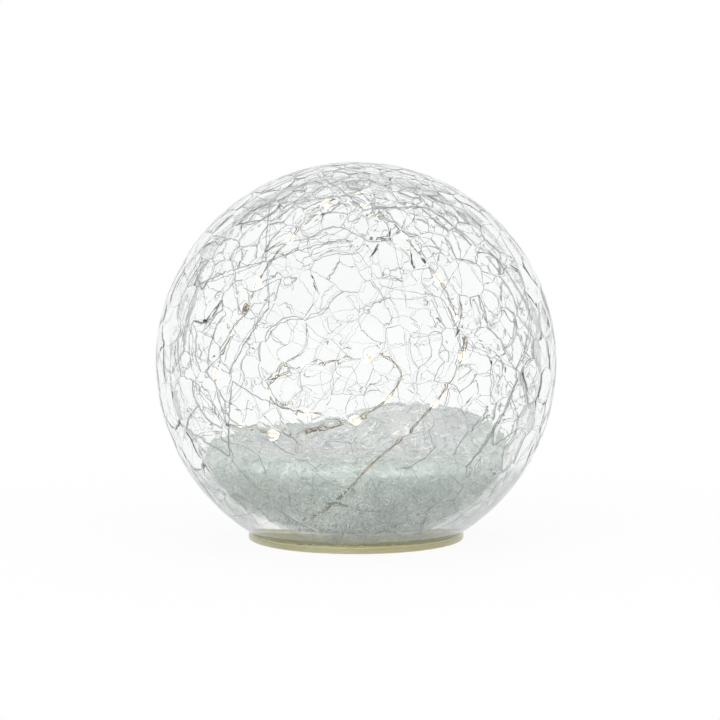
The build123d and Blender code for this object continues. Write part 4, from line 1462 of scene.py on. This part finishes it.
    def _bed_mesh(self) -> bpy.types.Mesh:
        """Closed lumpy bed around the cup.

        Returns:
            Mesh with a share that is bare of grains, in the hollow and on the foot.
        """
        body = bmesh.new()
        floor = body.verts.new((0, 0, self._cup_z()))
        crest = body.verts.new((0, 0, self._top(0, 0)))
        columns = [[body.verts.new(point) for point in self._column(turn)] for turn in turns(self.segments)]
        for here, there in zip(columns, columns[1:] + columns[:1]):
            body.faces.new((floor, there[0], here[0]))
            body.faces.new((crest, here[-1], there[-1]))
            for k in range(len(here) - 1):
                body.faces.new((here[k], there[k], there[k + 1], here[k + 1]))
        bmesh.ops.recalc_face_normals(body, faces=body.faces)
        mesh = bpy.data.meshes.new("granulate_bed")
        body.to_mesh(mesh)
        body.free()
        hidden = len(self._hollow(0.0))
        bare = [1.0, 0.0] + ([1.0] * hidden + [0.0] * (len(columns[0]) - hidden)) * self.segments
        mesh.attributes.new("bare", "FLOAT", "POINT").data.foreach_set("value", bare)
        smooth_faces(mesh)
        return mesh

    def _wall_mesh(self) -> bpy.types.Mesh:
        """Open zone close to the inner wall of the glass, where single grains cling.

        Returns:
            Mesh with a share that fades towards the rim.
        """
        low_z = self._floor_z()
        points: list[Point] = []
        for turn in turns(self.segments):
            points += self._side(turn, self.cling_gap, low_z)
        rows = self.side_rows + 1
        faces = []
        for k in range(self.segments):
            here, there = k * rows, (k + 1) % self.segments * rows
            faces += [(here + r, there + r, there + r + 1, here + r + 1) for r in range(self.side_rows)]
        mesh = bpy.data.meshes.new("grain_zone")
        mesh.from_pydata(points, [], faces)
        shares = [min(1.0, (1 - row / self.side_rows) / self.cling_fade) for row in range(rows)]
        mesh.attributes.new("bare", "FLOAT", "POINT").data.foreach_set(
            "value", [1 - share for share in shares] * self.segments
        )
        return mesh

    def _wire_distance(self, points: np.ndarray) -> np.ndarray:
        """Distance of points from the light wire.

        Args:
            points: Rows of points.

        Returns:
            The distances.
        """
        route = self.place.middle() + np.array(WIRE_ROUTE_SHARES) * self.place.inner_radius
        steps = np.linspace(0.0, 1.0, self.wire_steps)[:, None]
        along = np.vstack([start + (end - start) * steps for start, end in zip(route, route[1:])])
        return np.array([np.linalg.norm(along - point, axis=1).min() for point in points])

    def _film_mesh(self) -> bpy.types.Mesh:
        """Closed thin band of painted bed reflection in the skin of the glass, left out around the wire.

        Returns:
            Mesh with the share of its cover.
        """
        outer, inner = self.film_depths
        low_z = self._floor_z()
        points: list[Point] = []
        for turn in turns(self.segments):
            points += self._side(turn, -outer, low_z) + self._side(turn, -inner, low_z)[::-1]
        climb = list(range(self.side_rows + 1))
        climb += climb[::-1]
        rows = len(climb)
        faces = []
        for k in range(self.segments):
            here, there = k * rows, (k + 1) % self.segments * rows
            for r in range(rows):
                n = (r + 1) % rows
                faces.append((here + r, there + r, there + n, here + n))
        mesh = bpy.data.meshes.new("painted_bed_reflection_film")
        mesh.from_pydata(points, [], faces)
        near, far = self.film_clear
        away = np.clip((self._wire_distance(np.array(points)) - near) / (far - near), 0.0, 1.0)
        shares = [min(1.0, (1 - row / self.side_rows) / self.film_fade) for row in climb]
        fade = np.array(shares * self.segments)
        mesh.attributes.new("cover", "FLOAT", "POINT").data.foreach_set("value", away * fade)
        smooth_faces(mesh)
        return mesh

    def _grain_mesh(
        self, name: str, mesh: bpy.types.Mesh, density: float, radius: float, finish: bpy.types.Material
    ) -> bpy.types.Mesh:
        """Scatter grains over a surface.

        Args:
            name: Name of the new mesh.
            mesh: The surface, with its bare share as an attribute.
            density: Grains on a square metre.
            radius: Radius of a grain.
            finish: Material of the grains.

        Returns:
            Mesh of all the grains.
        """
        sheet = GeometrySheet(name)
        sheet.size("Density", FLOAT, density)
        sheet.size("Radius", FLOAT, radius)
        sheet.size("Seed", "NodeSocketInt", self.grain_seed)
        inputs = sheet.add("NodeGroupInput")
        outputs = sheet.add("NodeGroupOutput")
        bare = sheet.add("GeometryNodeInputNamedAttribute", data_type="FLOAT", Name="bare")
        cover = sheet.add("ShaderNodeMath", operation="SUBTRACT")
        cover.inputs[0].default_value = 1.0
        dense = sheet.add("ShaderNodeMath", operation="MULTIPLY")
        scatter = sheet.add("GeometryNodeDistributePointsOnFaces")
        grain = sheet.add("GeometryNodeMeshIcoSphere", Subdivisions=1)
        turn = sheet.add("FunctionNodeRandomValue", data_type="FLOAT_VECTOR")
        turn.inputs[1].default_value = (math.tau, math.tau, math.tau)
        grow = sheet.add("FunctionNodeRandomValue", data_type="FLOAT_VECTOR")
        for end, size in zip(grow.inputs, self.grain_sizes):
            end.default_value = (size, size, size)
        put = sheet.add("GeometryNodeInstanceOnPoints")
        real = sheet.add("GeometryNodeRealizeInstances")
        paint = sheet.add("GeometryNodeSetMaterial")
        paint.inputs["Material"].default_value = finish
        sheet.link(
            (inputs, "Geometry", scatter, "Mesh"), (bare, "Attribute", cover, 1),
            (cover, "Value", dense, 0), (inputs, "Density", dense, 1),
            (dense, "Value", scatter, "Density"), (inputs, "Seed", scatter, "Seed"),
            (inputs, "Radius", grain, "Radius"), (scatter, "Points", put, "Points"),
            (grain, "Mesh", put, "Instance"), (turn, 0, put, "Rotation"), (grow, 0, put, "Scale"),
            (put, "Instances", real, "Geometry"), (real, "Geometry", paint, "Geometry"),
            (paint, "Geometry", outputs, "Geometry"),
        )
        return sheet.apply_to(mesh, name)


@dataclass
class LightWire:
    """Twin copper wire with small lights in drops of resin."""

    place: GlobeMeasure
    strand_radius: float = 0.15 * MM
    strand_gap: float = 0.31 * MM
    twist_length: float = 16.0 * MM
    drop_radius: float = 1.25 * MM
    drop_length: float = 4.4 * MM
    route_steps: int = 24

    def build(self) -> None:
        """Build and dress the strands and the drops."""
        self.route = self._route_points()
        path = self._smooth_path()
        copper = Finish(
            "enamelled_copper", (0.42, 0.31, 0.14), (0.11, 0.08, 0.04), patch_scale=600.0, rough_low=0.3,
            rough_high=0.45, grain_scale=4000.0, grain_height=0.01 * MM, metallic=0.6, coat=0.2,
        ).material()
        strands = add_object("light_wire_strands", self._strand_mesh(path), copper)
        seat_piece(strands, "copper_wire", "led_wire")
        resin = WarmLight(
            "warm_resin", (1.0, 0.94, 0.78), (1.0, 0.98, 0.90), 0.4, transmission=0.9
        ).material()
        drops = add_object("light_drops", self._drop_mesh(path, resin), resin)
        seat_piece(drops, "clear_resin", "led_beads")
        glow = WarmLight("light_chip_glow", (1.0, 0.88, 0.6), (1.0, 0.95, 0.8), 6.0).material()
        dress("led_chips", glow)

    def _route_points(self) -> list[Vector]:
        """Whole route from the board to its end on the bed."""
        middle = Vector(self.place.middle())
        inside = [middle + Vector(share) * self.place.inner_radius for share in WIRE_ROUTE_SHARES]
        return [Vector(point) for point in WIRE_START] + inside

    def _smooth_path(self) -> np.ndarray:
        """Points along the smooth line that follows the route.

        Returns:
            Rows of points.
        """
        curve = bpy.data.curves.new("light_wire_route", "CURVE")
        curve.dimensions = "3D"
        curve.resolution_u = self.route_steps
        spline = add_spline(curve, "NURBS", self.route)
        spline.order_u = 3
        spline.use_endpoint_u = True
        line = curve_mesh(curve)
        points = np.array([vert.co for vert in line.vertices])
        bpy.data.meshes.remove(line)
        return points

    def _strand_mesh(self, path: np.ndarray) -> bpy.types.Mesh:
        """Two strands that twist slowly around the path.

        Args:
            path: Points along the wire.

        Returns:
            Mesh of both strands.
        """
        along = unit(np.gradient(path, axis=0))
        reach = np.concatenate([[0.0], np.cumsum(np.linalg.norm(np.diff(path, axis=0), axis=1))])
        side = np.cross(along[0], (0.0, 0.0, 1.0))
        sides = []
        for tangent in along:
            side = side - tangent * (side @ tangent)
            side = side / np.linalg.norm(side)
            sides.append(side)
        across = np.array(sides)
        over = np.cross(along, across)
        curve = bpy.data.curves.new("light_wire_line", "CURVE")
        curve.dimensions = "3D"
        curve.bevel_depth = self.strand_radius
        curve.bevel_resolution = 2
        curve.use_fill_caps = True
        angle = (reach / self.twist_length * math.tau)[:, None]
        for phase in (0.0, math.pi):
            turn = across * np.cos(angle + phase) + over * np.sin(angle + phase)
            add_spline(curve, "POLY", path + turn * self.strand_gap)
        mesh = curve_mesh(curve)
        smooth_faces(mesh)
        return mesh

    def _drop_mesh(self, path: np.ndarray, resin: bpy.types.Material) -> bpy.types.Mesh:
        """Drops of resin along the wire.

        Args:
            path: Points along the wire.
            resin: Material of the drops.

        Returns:
            Mesh of all the drops.
        """
        along = unit(np.gradient(path, axis=0))
        first = len(WIRE_START)
        places = []
        tangents = []
        for count in RUN_COUNT_TO_LIGHT:
            middle = np.array((self.route[first + count] + self.route[first + count + 1]) / 2)
            nearest = np.linalg.norm(path - middle, axis=1).argmin()
            places.append(tuple(path[nearest]))
            tangents.append(tuple(along[nearest]))
        points = bpy.data.meshes.new("drop_places")
        points.from_pydata(places, [], [])
        direction = points.attributes.new("along", "FLOAT_VECTOR", "POINT")
        direction.data.foreach_set("vector", np.array(tangents).ravel())
        sheet = GeometrySheet("resin_drops")
        sheet.size("Radius", FLOAT, self.drop_radius)
        sheet.size("Length", FLOAT, self.drop_length)
        inputs = sheet.add("NodeGroupInput")
        outputs = sheet.add("NodeGroupOutput")
        drop = sheet.add("GeometryNodeMeshUVSphere", Segments=14, Rings=10)
        half = sheet.add("ShaderNodeMath", operation="MULTIPLY")
        half.inputs[1].default_value = 0.5
        form = sheet.add("ShaderNodeCombineXYZ")
        along_wire = sheet.add("GeometryNodeInputNamedAttribute", data_type="FLOAT_VECTOR", Name="along")
        align = sheet.add("FunctionNodeAlignRotationToVector", axis="Z")
        put = sheet.add("GeometryNodeInstanceOnPoints")
        real = sheet.add("GeometryNodeRealizeInstances")
        paint = sheet.add("GeometryNodeSetMaterial")
        paint.inputs["Material"].default_value = resin
        smooth = sheet.add("GeometryNodeSetShadeSmooth")
        sheet.link(
            (inputs, "Length", half, 0), (inputs, "Radius", form, "X"), (inputs, "Radius", form, "Y"),
            (half, "Value", form, "Z"), (along_wire, "Attribute", align, "Vector"),
            (inputs, "Geometry", put, "Points"), (drop, "Mesh", put, "Instance"),
            (align, "Rotation", put, "Rotation"), (form, "Vector", put, "Scale"),
            (put, "Instances", real, "Geometry"), (real, "Geometry", smooth, "Geometry"),
            (smooth, "Geometry", paint, "Geometry"), (paint, "Geometry", outputs, "Geometry"),
        )
        return sheet.apply_to(points, "light_drops")


def dress(node: str, material: bpy.types.Material) -> None:
    """Give a node of the frame its finish.

    Args:
        node: Name of the node.
        material: Finish of the node.
    """
    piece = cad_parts[node]
    piece.data.materials.clear()
    piece.data.materials.append(material)
    LOG.info("dressed %s in %s", node, material.name)


@dataclass
class BaseUnit:
    """Base under the globe: seal, housing, door, cells, contacts, board and switch."""

    def build(self) -> None:
        """Dress every node of the base."""
        for finish, nodes in self._finishes():
            material = finish.material()
            for node in nodes:
                dress(node, material)

    def _finishes(self) -> list[tuple[Finish, tuple[str, ...]]]:
        """Finishes of the base and the nodes that wear them."""
        # Olive silicone with painted light: its seat under the glass is kept paler than its outer face
        olive = RingPaintedLightFinish(
            "ring_silicone_painted_light", (0.75, 0.71, 0.48), (0.57, 0.53, 0.28), patch_scale=30.0, patch_stretch=16.0,
            rough_low=0.22, rough_high=0.34, grain_scale=700.0, subsurface=0.5, coat=0.3,
        )
        moulding = Finish("base_moulding", (0.50, 0.51, 0.49), (0.44, 0.45, 0.43), grain_scale=1400.0)
        rubber = Finish(
            "gasket_rubber", (0.035, 0.035, 0.037), (0.05, 0.05, 0.05), rough_low=0.6, rough_high=0.8
        )
        feet = Finish(
            "feet_rubber", (0.045, 0.045, 0.045), (0.07, 0.07, 0.068), rough_low=0.6, rough_high=0.85
        )
        steel = Finish(
            "turned_steel", (0.55, 0.55, 0.54), (0.42, 0.42, 0.41), patch_scale=500.0, rough_low=0.2,
            rough_high=0.38, grain_scale=2500.0, grain_stretch=0.15, metallic=1.0,
        )
        nickel = Finish(
            "contact_nickel", (0.66, 0.63, 0.57), (0.52, 0.49, 0.44), patch_scale=400.0, rough_low=0.18,
            rough_high=0.34, grain_scale=2200.0, grain_stretch=0.2, metallic=1.0,
        )
        ends = {"left": CellEnd.REAR, "middle": CellEnd.FRONT, "right": CellEnd.REAR}
        cells = []
        for place, end in ends.items():
            node = f"battery_{place}"
            sleeve = CellSleeve(
                f"sleeve_of_{node}", (1, 1, 1), (0.8, 0.8, 0.8), coat=0.5, node=node, end=end
            )
            cells.append((sleeve, (node,)))
        board = Finish("board_green", (0.02, 0.14, 0.06), (0.015, 0.10, 0.045), patch_scale=300.0, coat=0.5)
        chip = Finish("chip_resin", (0.02, 0.02, 0.021), (0.03, 0.03, 0.03), grain_scale=3000.0)
        case = Finish("switch_case_black", (0.025, 0.025, 0.027), (0.04, 0.04, 0.04))
        knob = Finish("slider_white", (0.72, 0.72, 0.69), (0.62, 0.62, 0.59))
        red = Finish(
            "red_insulation", (0.42, 0.025, 0.02), (0.33, 0.02, 0.018), rough_low=0.3, rough_high=0.45
        )
        black = Finish(
            "black_insulation", (0.02, 0.02, 0.02), (0.035, 0.035, 0.035), rough_low=0.3, rough_high=0.45
        )
        bush = Finish(
            "bush_rubber", (0.12, 0.12, 0.12), (0.16, 0.16, 0.155), rough_low=0.55, rough_high=0.75
        )
        return cells + [
            (olive, ("seal_ring",)),
            (moulding, ("base_housing", "battery_door")),
            (rubber, ("door_gasket",)),
            (feet, ("foot_pads",)),
            (steel, ("door_hinge_pin", "door_screw", "board_screws")),
            (nickel, ("negative_terminal", "positive_terminal", "rear_bridge", "front_bridge")),
            (board, ("timer_board",)),
            (chip, ("timer_chip",)),
            (case, ("switch_case",)),
            (knob, ("switch_slider",)),
            (red, ("positive_lead",)),
            (black, ("negative_lead",)),
            (bush, ("wire_grommet",)),
        ]


@dataclass
class Studio:
    """White sweep with soft lamps and the camera of the photograph."""

    place: GlobeMeasure
    camera_distance: float = 1.2
    camera_height: float = 0.123
    sensor: float = 36.0
    floor_side: float = 8.0
    world_light: float = 0.6
    floor_white: float = 0.92
    shadow_reach: tuple[float, float] = (0.08, 0.30)
    lamps: tuple[tuple[Point, float, float], ...] = (
        ((-0.95, -1.0, 0.60), 0.9, 10.0),
        ((0.95, -0.9, 0.50), 0.9, 8.0),
        ((0.0, 0.7, 0.95), 0.8, 3.0),
    )

    def build(self) -> None:
        """Build the world, the floor, the lamps and the camera."""
        self._world()
        self._floor()
        for number, (spot, side, power) in enumerate(self.lamps):
            self._lamp(f"soft_lamp_{number}", spot, side, power)
        self._camera()
        scene = bpy.context.scene
        scene.view_settings.view_transform = "Standard"
        scene.cycles.transparent_max_bounces = 48
        scene.cycles.transmission_bounces = 16
        scene.cycles.max_bounces = 20

    def _shown_ray(self, sheet: NodeSheet) -> Socket:
        """Mask of the rays that show the white background.

        Args:
            sheet: Node sheet that the mask goes into.

        Returns:
            Socket that is one for camera, glossy and transmission rays.
        """
        path = sheet.add("ShaderNodeLightPath")
        first = sheet.add("ShaderNodeMath", operation="MAXIMUM")
        both = sheet.add("ShaderNodeMath", operation="MAXIMUM")
        sheet.link(
            (path, "Is Camera Ray", first, 0), (path, "Is Glossy Ray", first, 1),
            (first, "Value", both, 0), (path, "Is Transmission Ray", both, 1),
        )
        return both.outputs["Value"]

    def _world(self) -> None:
        """White world for what is seen, and a softer one for light."""
        world = bpy.data.worlds.new("white_room")
        world.use_nodes = True
        bpy.context.scene.world = world
        sheet = NodeSheet(world.node_tree)
        light = world.node_tree.nodes["Background"]
        light.inputs["Color"].default_value = WHITE
        light.inputs["Strength"].default_value = self.world_light
        white = sheet.add("ShaderNodeBackground", Color=WHITE, Strength=1.0)
        mix = sheet.add("ShaderNodeMixShader")
        sheet.join(self._shown_ray(sheet), mix.inputs[0])
        sheet.link((light, "Background", mix, 1), (white, "Background", mix, 2))
        sheet.join(mix.outputs["Shader"], world.node_tree.nodes["World Output"].inputs["Surface"])

    def _floor(self) -> None:
        """Pale floor that keeps a soft shadow and is open to what looks up from below."""
        half = self.floor_side / 2
        mesh = bpy.data.meshes.new("floor")
        corners = [(-half, -half, 0), (half, -half, 0), (half, half, 0), (-half, half, 0)]
        mesh.from_pydata(corners, [], [(0, 1, 2, 3)])
        material, sheet, shader = new_material("white_floor")
        shader.inputs["Base Color"].default_value = (0.9, 0.9, 0.9, 1.0)
        shader.inputs["Roughness"].default_value = 0.9
        shader.inputs["Specular IOR Level"].default_value = 0.0
        white = sheet.add("ShaderNodeEmission", Color=WHITE, Strength=1.0)
        place = sheet.add("ShaderNodeTexCoord")
        away = sheet.add("ShaderNodeVectorMath", operation="LENGTH")
        fade = sheet.add(
            "ShaderNodeMapRange", interpolation_type="SMOOTHSTEP", From_Min=self.shadow_reach[0],
            From_Max=self.shadow_reach[1], To_Min=self.floor_white, To_Max=1.0,
        )
        mix = sheet.add("ShaderNodeMixShader")
        side = sheet.add("ShaderNodeNewGeometry")
        upper = sheet.add("ShaderNodeMath", operation="SUBTRACT")
        shown = sheet.add("ShaderNodeMath", operation="MULTIPLY")
        clear = sheet.add("ShaderNodeBsdfTransparent")
        whole = sheet.add("ShaderNodeMixShader")
        upper.inputs[0].default_value = 1.0
        sheet.link(
            (place, "Object", away, 0), (away, "Value", fade, "Value"), (fade, "Result", mix, 0),
            (shader, "BSDF", mix, 1), (white, "Emission", mix, 2), (side, "Backfacing", upper, 1),
        )
        sheet.join(self._shown_ray(sheet), shown.inputs[0])
        sheet.link(
            (upper, "Value", shown, 1), (shown, "Value", whole, 0), (clear, "BSDF", whole, 1),
            (mix, "Shader", whole, 2),
        )
        sheet.join(whole.outputs["Shader"], sheet.tree.nodes["Material Output"].inputs["Surface"])
        add_object("floor", mesh, material)

    def _lamp(self, name: str, spot: Point, side: float, power: float) -> None:
        """Add one square soft lamp that faces the globe.

        Args:
            name: Name of the lamp.
            spot: Its place.
            side: Its side.
            power: Its power in watts.
        """
        light = bpy.data.lights.new(name, "AREA")
        light.size = side
        light.energy = power
        lamp = bpy.data.objects.new(name, light)
        lamp.location = spot
        aim = Vector((0, 0, self.place.outer_z)) - Vector(spot)
        lamp.rotation_euler = aim.to_track_quat("-Z", "Y").to_euler()
        lamp.visible_transmission = False
        lamp.visible_glossy = False
        bpy.context.scene.collection.objects.link(lamp)

    def _camera(self) -> None:
        """Camera that puts the globe where the photograph has it."""
        data = bpy.data.cameras.new("photo_camera")
        camera = bpy.data.objects.new("photo_camera", data)
        camera.location = (0.0, -self.camera_distance, self.place.outer_z + self.camera_height)
        tilt = math.atan(self.camera_height / self.camera_distance)
        camera.rotation_euler = (math.pi / 2 - tilt, 0.0, 0.0)
        reach = math.hypot(self.camera_distance, self.camera_height)
        half_angle = math.asin(self.place.outer_radius / reach)
        data.sensor_width = self.sensor
        data.lens = self.sensor * (GLOBE_RADIUS_PX / PHOTO_SIDE) / math.tan(half_angle)
        data.shift_x = 0.5 - GLOBE_MIDDLE_PX[0] / PHOTO_SIDE
        data.shift_y = GLOBE_MIDDLE_PX[1] / PHOTO_SIDE - 0.5
        data.clip_start = 0.01
        bpy.context.scene.collection.objects.link(camera)
        bpy.context.scene.camera = camera


def write_sizes() -> None:
    """Update the view layer."""
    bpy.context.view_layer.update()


def main() -> None:
    """Build every sub-assembly in order."""
    logging.basicConfig(level=logging.INFO, format="%(name)s: %(message)s")
    place = GlobeMeasure()
    CrackledGlobe(place).build()
    GranulateBed(place).build()
    LightWire(place).build()
    BaseUnit().build()
    Studio(place).build()
    write_sizes()


if __name__ == "__main__":
    main()
